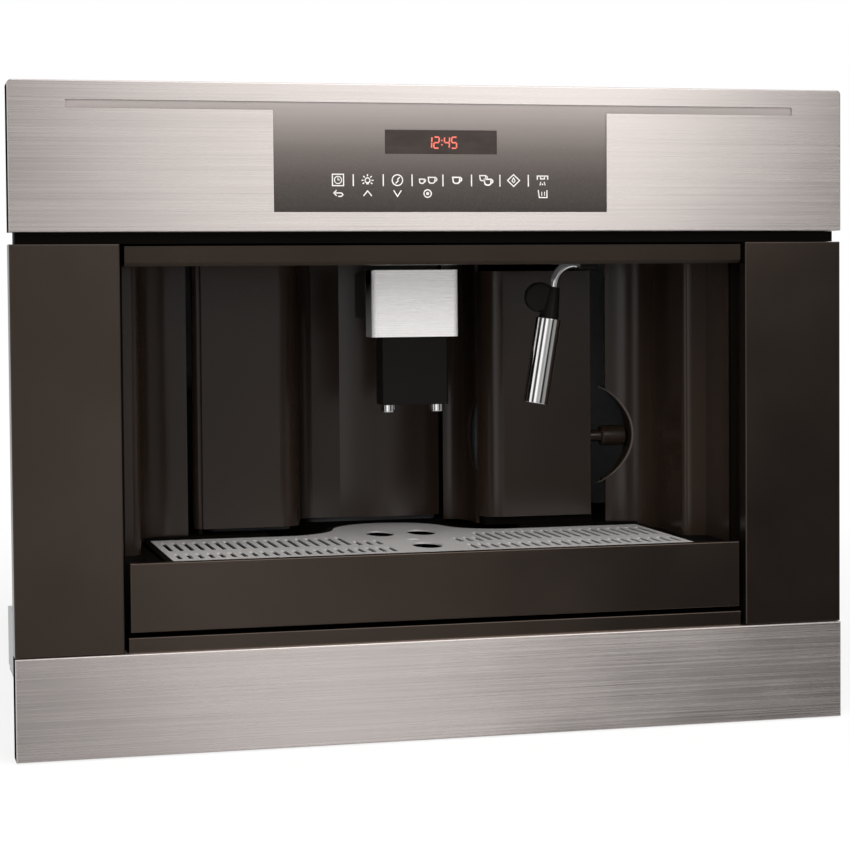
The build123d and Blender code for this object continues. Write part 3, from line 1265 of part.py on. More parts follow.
def power_board():
    """Board on four posts behind the bulkhead, with transformer, relay and capacitors."""
    d1 = BULKHEAD_BACK + POST_L
    face = d1 + BOARD_T
    top = POWER_Z0 + POWER_H
    board = slab(-POWER_HALF, POWER_HALF, d1, face, POWER_Z0, top)
    for x in (-POWER_HALF + POWER_POST_INSET, POWER_HALF - POWER_POST_INSET):
        for z in (POWER_Z0 + POWER_POST_INSET, top - POWER_POST_INSET):
            board += rod_d(x, BULKHEAD_BACK, d1, z, POST_R)
    core_z = POWER_Z0 + CORE_UP
    board += slab(CORE_X, CORE_X + CORE_W, face, face + CORE_DEEP, core_z, core_z + CORE_H)
    relay_z = POWER_Z0 + RELAY_UP
    board += slab(RELAY_X, RELAY_X + RELAY_W, face, face + RELAY_DEEP, relay_z, relay_z + RELAY_H)
    for number in range(CELL_COUNT):
        x = CELL_X + number * CELL_PITCH
        board += rod_d(x, face, face + CELL_L, top - CELL_DOWN, CELL_R)
    return board


def hose(*points):
    """A hose through the points (x, d, z), with a round bend at each corner."""
    places = [(x, FRONT_Y + d, FOOT_GAP + z) for x, d, z in points]
    route = FilletPolyline(*places, radius=HOSE_BEND)
    ring = Circle(HOSE_R) - Circle(HOSE_BORE)
    return sweep(Plane(origin=route @ 0, z_dir=route % 0) * ring, path=route)


def water_hoses():
    loop_z = PUMP_TOP + HOSE_LOOP
    boiler_z = DECK_TOP + BOILER_H / 2
    steam_z = boiler_z + STEAM_UP
    brew_z = boiler_z - BREW_DOWN
    brew_x = BOILER_X0 + BREW_X
    suction = hose((TANK_MID, BARB_END, SPIGOT_Z), (TANK_MID, PUMP_MID, SPIGOT_Z),
                   (TANK_MID, PUMP_MID, loop_z), (PUMP_IN_X, PUMP_MID, loop_z),
                   (PUMP_IN_X, PUMP_MID, PUMP_TOP))
    pressure = hose((PUMP_OUT_X, PUMP_MID, PUMP_TOP), (PUMP_OUT_X, PUMP_MID, boiler_z),
                    (BOILER_X1, PUMP_MID, boiler_z))
    steam = hose((WAND_HOSE_X, BOILER_D0, steam_z), (WAND_HOSE_X, WAND_D, steam_z),
                 (WAND_HOSE_X, WAND_D, DECK_Z))
    brew = hose((brew_x, BOILER_D0, brew_z), (brew_x, BREW_HOSE_D, brew_z),
                (BREW_HOSE_X, BREW_HOSE_D, brew_z), (BREW_HOSE_X, BREW_HOSE_D, INFUSER_TOP))
    return compound_of(suction, pressure, steam, brew)


# ---------------------------------------------------------------- lids, knob, inlet
def bean_lid():
    return lid_plate(*hopper_lid_box())


def funnel_lid():
    return lid_plate(*funnel_lid_box())


def grind_knob():
    low = HOUSE_TOP + CLEAR
    top = low + KNOB_H
    knob = rod_z(KNOB_X, KNOB_D, low, top, KNOB_R)
    for number in range(KNOB_RIBS):
        turn = Rot(0, 0, number * 360.0 / KNOB_RIBS)
        flute = turn * Pos(KNOB_R + FLUTE_R / 2, 0, 0) * Cylinder(FLUTE_R, KNOB_H + 2)
        knob -= at(KNOB_X, KNOB_D, low + KNOB_H / 2) * flute
    mark = slab(KNOB_X - MARK_W / 2, KNOB_X + MARK_W / 2, KNOB_D - KNOB_R, KNOB_D - MARK_END,
                top - MARK_DEEP, top + 1)
    return knob - mark + rod_z(KNOB_X, KNOB_D, low - KNOB_SHAFT_L, low, KNOB_SHAFT_R)


def inlet_unit():
    """Mains inlet and the frame of the main switch, in the rear cover."""
    back = REAR_FACE + INLET_FLANGE
    deep = back - MAINS_DEEP
    land = INLET_LAND + FIT
    unit = slab(INLET_X0, INLET_X1, REAR_FACE, back, INLET_Z0, INLET_Z1)
    unit = fillet(unit.edges().filter_by(Axis.Y), INLET_R)
    unit += slab(INLET_X0 + land, INLET_X1 - land, REAR_FACE - INLET_DEEP, REAR_FACE,
                 INLET_Z0 + land, INLET_Z1 - land)
    recess = slab(MAINS_X - MAINS_W / 2, MAINS_X + MAINS_W / 2, deep, back + 1,
                  INLET_MID - MAINS_H / 2, INLET_MID + MAINS_H / 2)
    unit -= fillet(recess.edges().filter_by(Axis.Y).group_by(Axis.Z)[-1], MAINS_R)
    for x, z in CONTACTS:
        middle_x = MAINS_X + x
        middle_z = INLET_MID + z
        unit += slab(middle_x - CONTACT_W / 2, middle_x + CONTACT_W / 2, deep, back - CONTACT_SET,
                     middle_z - CONTACT_H / 2, middle_z + CONTACT_H / 2)
    half = ROCKER_W / 2 + CLEAR
    tall = ROCKER_HALF + ROCKER_PLAY
    unit -= slab(ROCKER_X - half, ROCKER_X + half, deep, back + 1, INLET_MID - tall, INLET_MID + tall)
    pin = half + ROCKER_PIN_OUT + CLEAR
    return unit - rod_x(ROCKER_X - pin, ROCKER_X + pin, ROCKER_D, INLET_MID, ROCKER_PIN_R + FIT)


def switch_rocker():
    """Rocker with a hollowed face, resting tipped to one side."""
    face = make_face(Polyline([(0, d, z) for d, z in ROCKER_SIDE], close=True))
    rocker = Pos(-ROCKER_W / 2, 0, 0) * extrude(face, amount=ROCKER_W, dir=(1, 0, 0))
    pin_l = ROCKER_W + 2 * ROCKER_PIN_OUT
    rocker += Cylinder(ROCKER_PIN_R, pin_l, rotation=(0, 90, 0))
    return at(ROCKER_X, ROCKER_D, INLET_MID) * Rot(-ROCKER_TILT, 0, 0) * rocker


# ---------------------------------------------------------------- slide rails and base
def rail_channel(x0, x1, web_x, z0, z1):
    """A channel with its web at web_x, its lips between x0 and x1."""
    rail = slab(web_x, web_x + RAIL_T, RAIL_D0, RAIL_D1, z0, z1)
    rail += slab(x0, x1, RAIL_D0, RAIL_D1, z0, z0 + RAIL_T)
    return rail + slab(x0, x1, RAIL_D0, RAIL_D1, z1 - RAIL_T, z1)


def rail_outers():
    lip = COVER_HALF + LIP_GAP
    web = RAIL_BACK - RAIL_T
    rail = rail_channel(lip, RAIL_BACK, web, RAIL_Z, RAIL_Z + RAIL_H)
    foot_z = TIE_T - FOOT_GAP
    rail += slab(web, RAIL_BACK, RAIL_D0, RAIL_D1, foot_z, RAIL_Z)
    rail += slab(RAIL_BACK - RAIL_FOOT, RAIL_BACK, RAIL_D0, RAIL_D1, foot_z, foot_z + RAIL_T)
    return compound_of(rail, mirror(rail, about=Plane.YZ))


def rail_middles():
    step = RAIL_T + RAIL_GAP
    back = RAIL_BACK - RAIL_T - RAIL_SIDE
    rail = rail_channel(COVER_HALF + LIP_GAP, back, back - RAIL_T, RAIL_Z + step,
                        RAIL_Z + RAIL_H - step)
    return compound_of(rail, mirror(rail, about=Plane.YZ))


def rail_inners():
    step = 2 * (RAIL_T + RAIL_GAP)
    lip = RAIL_BACK - 2 * (RAIL_T + RAIL_SIDE)
    rail = rail_channel(COVER_HALF, lip, COVER_HALF, RAIL_Z + step, RAIL_Z + RAIL_H - step)
    return compound_of(rail, mirror(rail, about=Plane.YZ))


def base_ties():
    """Two flat strips on the niche floor, with the screw holes that hold the base down."""
    hole_x = HOUSE_HALF - TIE_HOLE_SET
    ties = []
    for d in TIE_DS:
        tie = slab(-RAIL_BACK, RAIL_BACK, d, d + TIE_L, -FOOT_GAP, TIE_T - FOOT_GAP)
        for x in (-hole_x, hole_x):
            tie -= rod_z(x, d + TIE_L / 2, -FOOT_GAP - 1, TIE_T, TIE_HOLE_R)
        ties.append(tie)
    return compound_of(*ties)


PARTS = {
    "base_ties": base_ties,
    "rail_outers": rail_outers,
    "rail_middles": rail_middles,
    "rail_inners": rail_inners,
    "chassis_base": chassis_base,
    "side_plate_left": lambda: mirror(side_plate_right(), about=Plane.YZ),
    "side_plate_right": side_plate_right,
    "rear_cover": rear_cover,
    "cover_screws": cover_screws,
    "top_cover": top_cover,
    "bulkhead": bulkhead,
    "front_frame": front_frame,
    "upper_front_panel": upper_front_panel,
    "control_insert": control_insert,
    "display_window": display_window,
    "display_board": display_board,
    "lower_front_panel": lower_front_panel,
    "side_trim_left": lambda: mirror(side_trim_right(), about=Plane.YZ),
    "side_trim_right": side_trim_right,
    "lintel_bar": lintel_bar,
    "lower_sill": lower_sill,
    "bay_cheek_left": bay_cheek_left,
    "bay_cheek_right": bay_cheek_right,
    "bay_wall_right": bay_wall_right,
    "tray_shelf": tray_shelf,
    "upper_deck": upper_deck,
    "lamp_lens": lamp_lens,
    "door_shell": door_shell,
    "door_pins": door_pins,
    "spout_cover": spout_cover,
    "spout_body": spout_body,
    "spout_nozzles": spout_nozzles,
    "drip_tray_tub": drip_tray_tub,
    "drip_tray_front": drip_tray_front,
    "cup_grille": cup_grille,
    "tray_float": tray_float,
    "tank_front": tank_front,
    "water_tank": water_tank,
    "tank_bay": tank_bay,
    "wand_socket": wand_socket,
    "wand_pipe": wand_pipe,
    "wand_sleeve": wand_sleeve,
    "froth_sheath": froth_sheath,
    "bean_hopper": bean_hopper,
    "bean_lid": bean_lid,
    "grinder_housing": grinder_housing,
    "grinder_burr": grinder_burr,
    "grinder_motor": grinder_motor,
    "grind_knob": grind_knob,
    "coffee_funnel": coffee_funnel,
    "funnel_lid": funnel_lid,
    "infuser_frame": infuser_frame,
    "infuser_piston": infuser_piston,
    "grounds_container": grounds_container,
    "boiler": boiler,
    "pump": pump,
    "water_hoses": water_hoses,
    "power_board": power_board,
    "inlet_unit": inlet_unit,
    "switch_rocker": switch_rocker,
}

os.makedirs("parts", exist_ok=True)
for name, make in PARTS.items():
    export_step(make(), "parts/" + name + ".step")
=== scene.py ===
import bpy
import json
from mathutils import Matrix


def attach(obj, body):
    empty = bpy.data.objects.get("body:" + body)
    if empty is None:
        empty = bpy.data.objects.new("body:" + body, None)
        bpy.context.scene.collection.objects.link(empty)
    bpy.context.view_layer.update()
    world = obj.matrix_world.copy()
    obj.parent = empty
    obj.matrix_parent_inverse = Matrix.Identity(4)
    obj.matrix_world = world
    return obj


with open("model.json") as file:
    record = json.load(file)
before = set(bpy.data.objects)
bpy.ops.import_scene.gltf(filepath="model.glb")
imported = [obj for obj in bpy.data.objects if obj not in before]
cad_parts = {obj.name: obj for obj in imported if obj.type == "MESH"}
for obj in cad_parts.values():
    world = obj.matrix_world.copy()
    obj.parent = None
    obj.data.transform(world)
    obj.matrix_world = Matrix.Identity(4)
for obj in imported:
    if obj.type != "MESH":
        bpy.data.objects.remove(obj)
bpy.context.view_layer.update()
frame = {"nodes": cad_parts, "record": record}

import json
import math

import bmesh
import bpy
from mathutils import Matrix, Vector

nodes = frame["nodes"]
FRONT_Y = -0.206          # front plane
LIFT = 0.001              # the front's lower edge above the floor


def place(x, d, z):
    """Millimetres right of centre, behind the front plane, above the front's lower edge."""
    return Vector((x / 1000, FRONT_Y + d / 1000, LIFT + z / 1000))


# ---------------------------------------------------------------- camera
PICTURE = 850.0                                    # pixels across the photograph's frame
FOCAL_PIXELS = 2268.123
RISE_PIXELS = -51.0                                # how far the lens is shifted
SENSOR = 36.0                                      # millimetres
YAW, PITCH, ROLL = 0.24435, 0.03944, -0.00788      # to the right, down, and about the view
CAMERA_X, CAMERA_D, CAMERA_Z = -394.008, -1523.667, 317.304


def make_camera():
    forward = Vector((math.sin(YAW) * math.cos(PITCH), math.cos(YAW) * math.cos(PITCH), -math.sin(PITCH)))
    level = Vector((math.cos(YAW), -math.sin(YAW), 0.0))
    up = level.cross(forward)
    right = level * math.cos(ROLL) + up * math.sin(ROLL)
    up = up * math.cos(ROLL) - level * math.sin(ROLL)
    data = bpy.data.cameras.new("camera")
    data.sensor_fit = "HORIZONTAL"
    data.sensor_width = SENSOR
    data.lens = FOCAL_PIXELS * SENSOR / PICTURE
    data.shift_y = RISE_PIXELS / PICTURE
    data.clip_start = 0.05
    data.clip_end = 60.0
    camera = bpy.data.objects.new("camera", data)
    bpy.context.scene.collection.objects.link(camera)
    turn = Matrix((right, up, -forward)).transposed().to_4x4()
    camera.matrix_world = Matrix.Translation(place(CAMERA_X, CAMERA_D, CAMERA_Z)) @ turn
    bpy.context.scene.camera = camera


make_camera()


# ---------------------------------------------------------------- node helpers
def shade(colour, factor, plus=0.0):
    """A colour made lighter or darker, and never brighter than white."""
    return tuple(min(1.0, part * factor + plus) for part in colour)


class Graph:
    """A material's node tree, with short calls for the nodes that this scene uses."""

    def __init__(self, name):
        self.material = bpy.data.materials.new(name)
        self.material.use_nodes = True
        self.tree = self.material.node_tree
        self.bsdf = self.tree.nodes["Principled BSDF"]
        self.output = self.tree.nodes["Material Output"]
        self.where = self.tree.nodes.new("ShaderNodeTexCoord").outputs["Object"]

    def link(self, source, target):
        self.tree.links.new(source, target)

    def set(self, **values):
        for key, value in values.items():
            self.bsdf.inputs[key.replace("_", " ")].default_value = value

    def scaled(self, x, y, z):
        mapping = self.tree.nodes.new("ShaderNodeMapping")
        mapping.inputs["Scale"].default_value = (x, y, z)
        self.link(self.where, mapping.inputs["Vector"])
        return mapping.outputs["Vector"]

    def noise(self, vector, scale, detail=3.0, roughness=0.5):
        node = self.tree.nodes.new("ShaderNodeTexNoise")
        node.inputs["Scale"].default_value = scale
        node.inputs["Detail"].default_value = detail
        node.inputs["Roughness"].default_value = roughness
        self.link(vector, node.inputs["Vector"])
        return node.outputs["Fac"]

    def spots(self, vector, scale):
        node = self.tree.nodes.new("ShaderNodeTexVoronoi")
        node.inputs["Scale"].default_value = scale
        self.link(vector, node.inputs["Vector"])
        return node.outputs["Distance"]

    def axis(self, name):
        node = self.tree.nodes.new("ShaderNodeSeparateXYZ")
        self.link(self.where, node.inputs[0])
        return node.outputs[name]

    def remap(self, value, low, high, to_low, to_high):
        node = self.tree.nodes.new("ShaderNodeMapRange")
        for key, number in zip(("From Min", "From Max", "To Min", "To Max"), (low, high, to_low, to_high)):
            node.inputs[key].default_value = number
        self.link(value, node.inputs["Value"])
        return node.outputs["Result"]

    def math(self, kind, a, b):
        node = self.tree.nodes.new("ShaderNodeMath")
        node.operation = kind
        for number, value in enumerate((a, b)):
            if isinstance(value, (int, float)):
                node.inputs[number].default_value = value
            else:
                self.link(value, node.inputs[number])
        return node.outputs[0]

    def ramp(self, value, *stops):
        node = self.tree.nodes.new("ShaderNodeValToRGB")
        ramp = node.color_ramp
        while len(ramp.elements) < len(stops):
            ramp.elements.new(0.5)
        for element, (spot, colour) in zip(ramp.elements, stops):
            element.position = spot
            element.color = (*colour, 1.0)
        self.link(value, node.inputs["Fac"])
        return node.outputs["Color"]

    def mix(self, factor, a, b):
        node = self.tree.nodes.new("ShaderNodeMix")
        node.data_type = "RGBA"
        self.link(factor, node.inputs["Factor"])
        for key, value in (("A", a), ("B", b)):
            socket = [s for s in node.inputs if s.name == key and s.type == "RGBA"][0]
            if isinstance(value, tuple):
                socket.default_value = (*value, 1.0)
            else:
                self.link(value, socket)
        return [s for s in node.outputs if s.type == "RGBA"][0]

    def bump(self, height, strength, distance):
        node = self.tree.nodes.new("ShaderNodeBump")
        node.inputs["Strength"].default_value = strength
        node.inputs["Distance"].default_value = distance
        self.link(height, node.inputs["Height"])
        return node.outputs["Normal"]

    def edges(self, radius):
        """1 on broken edges, 0 on flat faces."""
        bevel = self.tree.nodes.new("ShaderNodeBevel")
        bevel.inputs["Radius"].default_value = radius
        bevel.samples = 4
        geometry = self.tree.nodes.new("ShaderNodeNewGeometry")
        dot = self.tree.nodes.new("ShaderNodeVectorMath")
        dot.operation = "DOT_PRODUCT"
        self.link(bevel.outputs[0], dot.inputs[0])
        self.link(geometry.outputs["Normal"], dot.inputs[1])
        return self.remap(dot.outputs["Value"], 0.999, 0.93, 0.0, 1.0)


# ---------------------------------------------------------------- finishes
def brushed(name, colour, roughness, grain=0.2, anisotropy=0.9, metallic=1.0):
    """Sheet metal brushed from side to side: fine lines, soft cloudiness, lighter broken edges."""
    streak = 0.066
    long, short = 5.0, 2600.0
    g = Graph(name)
    lines = g.noise(g.scaled(long, short, short), 1.0, 4.0, 0.65)
    wide = g.noise(g.scaled(long, short / 9, short / 9), 1.0, 2.0)
    cloud = g.noise(g.scaled(3, 3, 7), 3.0, 2.0)
    tone = g.math("ADD", g.math("MULTIPLY", lines, 0.7), g.math("MULTIPLY", wide, 0.3))
    paint = g.ramp(tone, (0.3, shade(colour, 1 - streak)), (0.7, shade(colour, 1 + streak)))
    worn = g.mix(g.math("MULTIPLY", g.edges(0.0006), 0.5), paint, shade(colour, 1.25))
    g.link(worn, g.bsdf.inputs["Base Color"])
    rough = g.math("ADD", g.remap(lines, 0.3, 0.7, roughness - 0.05, roughness + 0.06),
                   g.remap(cloud, 0.3, 0.7, -0.02, 0.02))
    g.link(rough, g.bsdf.inputs["Roughness"])
    g.link(g.bump(lines, grain, 0.00003), g.bsdf.inputs["Normal"])
    g.set(Metallic=metallic, Anisotropic=anisotropy)
    across = g.tree.nodes.new("ShaderNodeVectorMath")   # highlights stretch across the lines
    across.operation = "CROSS_PRODUCT"
    g.link(g.tree.nodes.new("ShaderNodeNewGeometry").outputs["Normal"], across.inputs[0])
    across.inputs[1].default_value = (1, 0, 0)
    g.link(across.outputs[0], g.bsdf.inputs["Tangent"])
    return g.material


def moulded(name, colour, roughness, texture, size=900.0, metallic=0.0, coat=0.0, specular=0.5):
    """Moulded plastic or satin paint: fine texture, slow tone changes, lighter worn edges."""
    vary = 0.12
    g = Graph(name)
    grain = g.noise(g.where, size, 2.0, 0.6)
    cloud = g.noise(g.where, 9.0, 4.0, 0.55)
    paint = g.ramp(cloud, (0.3, shade(colour, 1 - vary)), (0.7, shade(colour, 1 + vary)))
    worn = g.mix(g.math("MULTIPLY", g.edges(0.0005), 0.35), paint, shade(colour, 1.7, 0.01))
    g.link(worn, g.bsdf.inputs["Base Color"])
    rough = g.math("ADD", g.remap(grain, 0.3, 0.7, roughness - 0.04, roughness + 0.05),
                   g.remap(cloud, 0.3, 0.7, -0.03, 0.03))
    g.link(rough, g.bsdf.inputs["Roughness"])
    g.link(g.bump(grain, texture, 0.00004), g.bsdf.inputs["Normal"])
    g.set(Metallic=metallic, Coat_Weight=coat, Coat_Roughness=0.25, Specular_IOR_Level=specular)
    return g.material


def galvanised(name, colour, roughness):
    """Zinc-plated sheet: faint crystal patches and rolling lines."""
    g = Graph(name)
    patch = g.spots(g.where, 130.0)
    cloud = g.noise(g.where, 14.0, 5.0, 0.6)
    tone = g.math("ADD", g.math("MULTIPLY", patch, 0.6), g.math("MULTIPLY", cloud, 0.4))
    paint = g.ramp(tone, (0.25, shade(colour, 0.95)), (0.6, shade(colour, 1.04)))
    worn = g.mix(g.math("MULTIPLY", g.edges(0.0006), 0.6), paint, shade(colour, 1.35))
    g.link(worn, g.bsdf.inputs["Base Color"])
    g.link(g.remap(tone, 0.25, 0.65, roughness - 0.04, roughness + 0.06), g.bsdf.inputs["Roughness"])
    g.link(g.bump(g.noise(g.scaled(300, 300, 20), 2.0, 3.0), 0.12, 0.00005), g.bsdf.inputs["Normal"])
    g.set(Metallic=0.85)
    return g.material


def polished(name, colour, roughness):
    """Chrome or ground metal with faint wiping marks."""
    g = Graph(name)
    wipe = g.noise(g.scaled(40, 40, 400), 2.0, 4.0, 0.6)
    smear = g.noise(g.where, 60.0, 3.0)
    g.link(g.ramp(smear, (0.3, shade(colour, 0.95)), (0.7, colour)), g.bsdf.inputs["Base Color"])
    g.link(g.remap(wipe, 0.3, 0.7, roughness, roughness + 0.07), g.bsdf.inputs["Roughness"])
    g.link(g.bump(wipe, 0.05, 0.00002), g.bsdf.inputs["Normal"])
    g.set(Metallic=1.0)
    return g.material


FIELD_LOW, FIELD_TOP = LIFT + 0.367, LIFT + 0.442      # where the control field's painted reflection fade starts and ends


def control_finish_painted_reflection():
    """Metallic lacquer whose colour darkens towards the bottom of the control field: a painted reflection.
    """
    g = Graph("control_lacquer_painted_reflection")
    height = g.remap(g.axis("Z"), FIELD_LOW, FIELD_TOP, 0.0, 1.0)
    flake = g.noise(g.where, 2600.0, 2.0, 0.7)
    lines = g.noise(g.scaled(4, 900, 900), 1.0, 3.0)
    tone = g.math("ADD", height, g.math("MULTIPLY", g.math("SUBTRACT", lines, 0.5), 0.05))
    # Painted reflection: light grey at the top of the field, fading to near black at the bottom.
    paint = g.ramp(tone, (0.0, (0.030, 0.024, 0.020)), (0.32, (0.070, 0.057, 0.050)),
                   (0.55, (0.13, 0.11, 0.10)), (0.78, (0.24, 0.205, 0.19)), (1.0, (0.36, 0.32, 0.305)))
    speck = g.mix(g.remap(flake, 0.55, 0.8, 0.0, 0.25), paint, (0.5, 0.46, 0.43))
    g.link(speck, g.bsdf.inputs["Base Color"])
    g.link(g.remap(flake, 0.3, 0.7, 0.30, 0.40), g.bsdf.inputs["Roughness"])
    g.link(g.bump(flake, 0.08, 0.00002), g.bsdf.inputs["Normal"])
    g.set(Metallic=0.35, Coat_Weight=0.15, Coat_Roughness=0.2)
    return g.material


def smoked_glass():
    g = Graph("smoked_window")
    smear = g.noise(g.scaled(60, 60, 200), 1.0, 4.0, 0.6)
    paint = g.ramp(smear, (0.3, (0.022, 0.014, 0.011)), (0.7, (0.034, 0.024, 0.020)))
    g.link(paint, g.bsdf.inputs["Base Color"])
    g.link(g.remap(smear, 0.3, 0.7, 0.16, 0.24), g.bsdf.inputs["Roughness"])
    g.link(g.bump(smear, 0.02, 0.00002), g.bsdf.inputs["Normal"])
    return g.material


def glowing(name, colour, strength):
    """Lit figures made of small dots."""
    g = Graph(name)
    dots = g.spots(g.where, 1500.0)
    glow = g.ramp(dots, (0.1, colour), (0.8, shade(colour, 0.6)))
    paint = g.ramp(dots, (0.1, shade(colour, 0.7)), (0.8, shade(colour, 0.4)))
    g.link(glow, g.bsdf.inputs["Emission Color"])
    g.link(paint, g.bsdf.inputs["Base Color"])
    g.link(g.remap(dots, 0.0, 1.0, 0.4, 0.6), g.bsdf.inputs["Roughness"])
    g.set(Emission_Strength=strength)
    return g.material


def printed(name, colour):
    g = Graph(name)
    grain = g.noise(g.where, 3000.0, 2.0)
    g.link(g.ramp(grain, (0.3, shade(colour, 0.85)), (0.7, colour)), g.bsdf.inputs["Base Color"])
    g.link(g.remap(grain, 0.3, 0.7, 0.45, 0.6), g.bsdf.inputs["Roughness"])
    return g.material


def clear_plastic():
    g = Graph("clear_smoked_plastic")
    flow = g.noise(g.scaled(20, 20, 60), 1.0, 4.0)
    paint = g.ramp(flow, (0.3, (0.62, 0.64, 0.66)), (0.7, (0.70, 0.72, 0.73)))
    g.link(paint, g.bsdf.inputs["Base Color"])
    g.link(g.remap(flow, 0.3, 0.7, 0.08, 0.16), g.bsdf.inputs["Roughness"])
    g.link(g.bump(flow, 0.05, 0.0001), g.bsdf.inputs["Normal"])
    g.set(Transmission_Weight=0.85, IOR=1.49)
    return g.material


def frosted_lens():
    g = Graph("frosted_lens")
    grain = g.noise(g.where, 1500.0, 2.0)
    paint = g.ramp(grain, (0.3, (0.75, 0.74, 0.70)), (0.7, (0.85, 0.84, 0.80)))
    g.link(paint, g.bsdf.inputs["Base Color"])
    g.link(g.remap(grain, 0.3, 0.7, 0.4, 0.55), g.bsdf.inputs["Roughness"])
    g.link(g.bump(grain, 0.2, 0.00005), g.bsdf.inputs["Normal"])
    g.set(Transmission_Weight=0.4)
    return g.material


MATERIALS = {
    "front_steel": brushed("front_steel", (0.76, 0.69, 0.66), roughness=0.24),
    # Painted reflection: the cover's steel is near white and hardly metallic, so it shows as bright as the
    # steel's reflection would.
    "cover_steel": brushed("cover_steel", (0.99, 0.94, 0.92), roughness=0.26, metallic=0.18),
    "grille_steel": brushed("grille_steel", (0.84, 0.81, 0.79), roughness=0.42, grain=0.3,
                            anisotropy=0.3, metallic=0.55),
    "chrome": polished("chrome", (0.95, 0.94, 0.93), roughness=0.04),
    "control_panel": control_finish_painted_reflection(),
    "display_glass": smoked_glass(),
    "dark_trim": moulded("dark_satin_paint", (0.092, 0.070, 0.057), roughness=0.19, texture=0.10,
                         size=1400.0, metallic=0.95),
    "bay_plastic": moulded("bay_satin_plastic", (0.020, 0.0125, 0.0085), roughness=0.21, texture=0.10,
                           size=1100.0, specular=0.38),
    "black_plastic": moulded("black_plastic", (0.006, 0.005, 0.0045), roughness=0.34, texture=0.20,
                             size=1100.0, specular=0.12),
    "tank_clear": clear_plastic(),
    "float_grey": moulded("grey_float", (0.035, 0.042, 0.038), roughness=0.35, texture=0.1),
    "lens": frosted_lens(),
    "housing_steel": galvanised("zinc_sheet", (0.58, 0.59, 0.60), roughness=0.42),
    "rail_steel": galvanised("zinc_rail", (0.66, 0.67, 0.68), roughness=0.34),
    "screw_steel": polished("screw_zinc", (0.72, 0.72, 0.70), roughness=0.2),
    "aluminium": moulded("cast_aluminium", (0.62, 0.62, 0.63), roughness=0.45, texture=0.5,
                         size=500.0, metallic=0.9),
    "burr_steel": polished("ground_steel", (0.6, 0.6, 0.6), roughness=0.25),
    "inner_plastic": moulded("inner_plastic", (0.10, 0.10, 0.11), roughness=0.5, texture=0.25,
                             size=700.0),
    "circuit": moulded("coated_board", (0.03, 0.14, 0.06), roughness=0.35, texture=0.3, size=300.0,
                       coat=0.4),
    "hose": moulded("silicone_hose", (0.62, 0.62, 0.58), roughness=0.4, texture=0.1, size=400.0),
}
# Painted shade: near-black, almost glossless plastic for inner parts whose gaps and recesses lie in shade.
SHADE_PAINTED_INNER = moulded("inner_plastic_painted_shade", (0.003, 0.0025, 0.002), roughness=0.5, texture=0.2,
                     specular=0.02)
LINTEL_PAINT = moulded("dark_lintel_paint", (0.050, 0.037, 0.029), roughness=0.22, texture=0.10,
                       size=1400.0, metallic=0.9)
# Painted highlight: the scoop's rim bead gets a plastic much lighter than the bay's, for the light
# crescent along the rim.
RIM_PAINTED_HIGHLIGHT = moulded("rim_plastic_painted_highlight", (0.085, 0.066, 0.056), roughness=0.28, texture=0.10, size=1400.0)
SYMBOL = printed("symbol_print", (0.72, 0.69, 0.66))
RED_GLOW = glowing("display_digits", (0.85, 0.17, 0.12), 0.9)
OWN_FINISH = {                                     # nodes darker than their slot's other nodes, most of them as painted shade; the lintel's darker paint is its own
    "tank_bay": SHADE_PAINTED_INNER,
    "tray_shelf": SHADE_PAINTED_INNER,
    "drip_tray_tub": SHADE_PAINTED_INNER,
    "front_frame": SHADE_PAINTED_INNER,
    "lintel_bar": LINTEL_PAINT,
    # Painted shade: the steel door pins are given black plastic so that they stay dark.
    "door_pins": MATERIALS["black_plastic"],
}

for part in frame["record"]["subparts"]:
    node = nodes[part["node"]]
    node.data.materials.clear()
    node.data.materials.append(OWN_FINISH.get(part["node"], MATERIALS[part["material_slot"]]))


# ---------------------------------------------------------------- pieces
def finish_piece(mesh_object, material, body, smooth=False):
    mesh_object.data.materials.clear()
    mesh_object.data.materials.append(material)
    for polygon in mesh_object.data.polygons:
        polygon.use_smooth = smooth
    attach(mesh_object, body)


def add_mesh(name, bm):
    mesh = bpy.data.meshes.new(name)
    bm.to_mesh(mesh)
    bm.free()
    piece = bpy.data.objects.new(name, mesh)
    bpy.context.scene.collection.objects.link(piece)
    return piece


# ---------------------------------------------------------------- printed symbols
PRINT_D = 0.84            # printed marks stand just proud of the control field
FIGURE_D = 0.66           # the display's figures stand just proud of its window
PRINT_T = 0.06            # thickness of both
LINE = 0.75               # usual line of a symbol
UPPER_ROW, LOWER_ROW = 389.3, 380.1


def turned(x, z, r, degrees):
    """The point r away from (x, z), anticlockwise by degrees from level."""
    return x + r * math.cos(math.radians(degrees)), z + r * math.sin(math.radians(degrees))


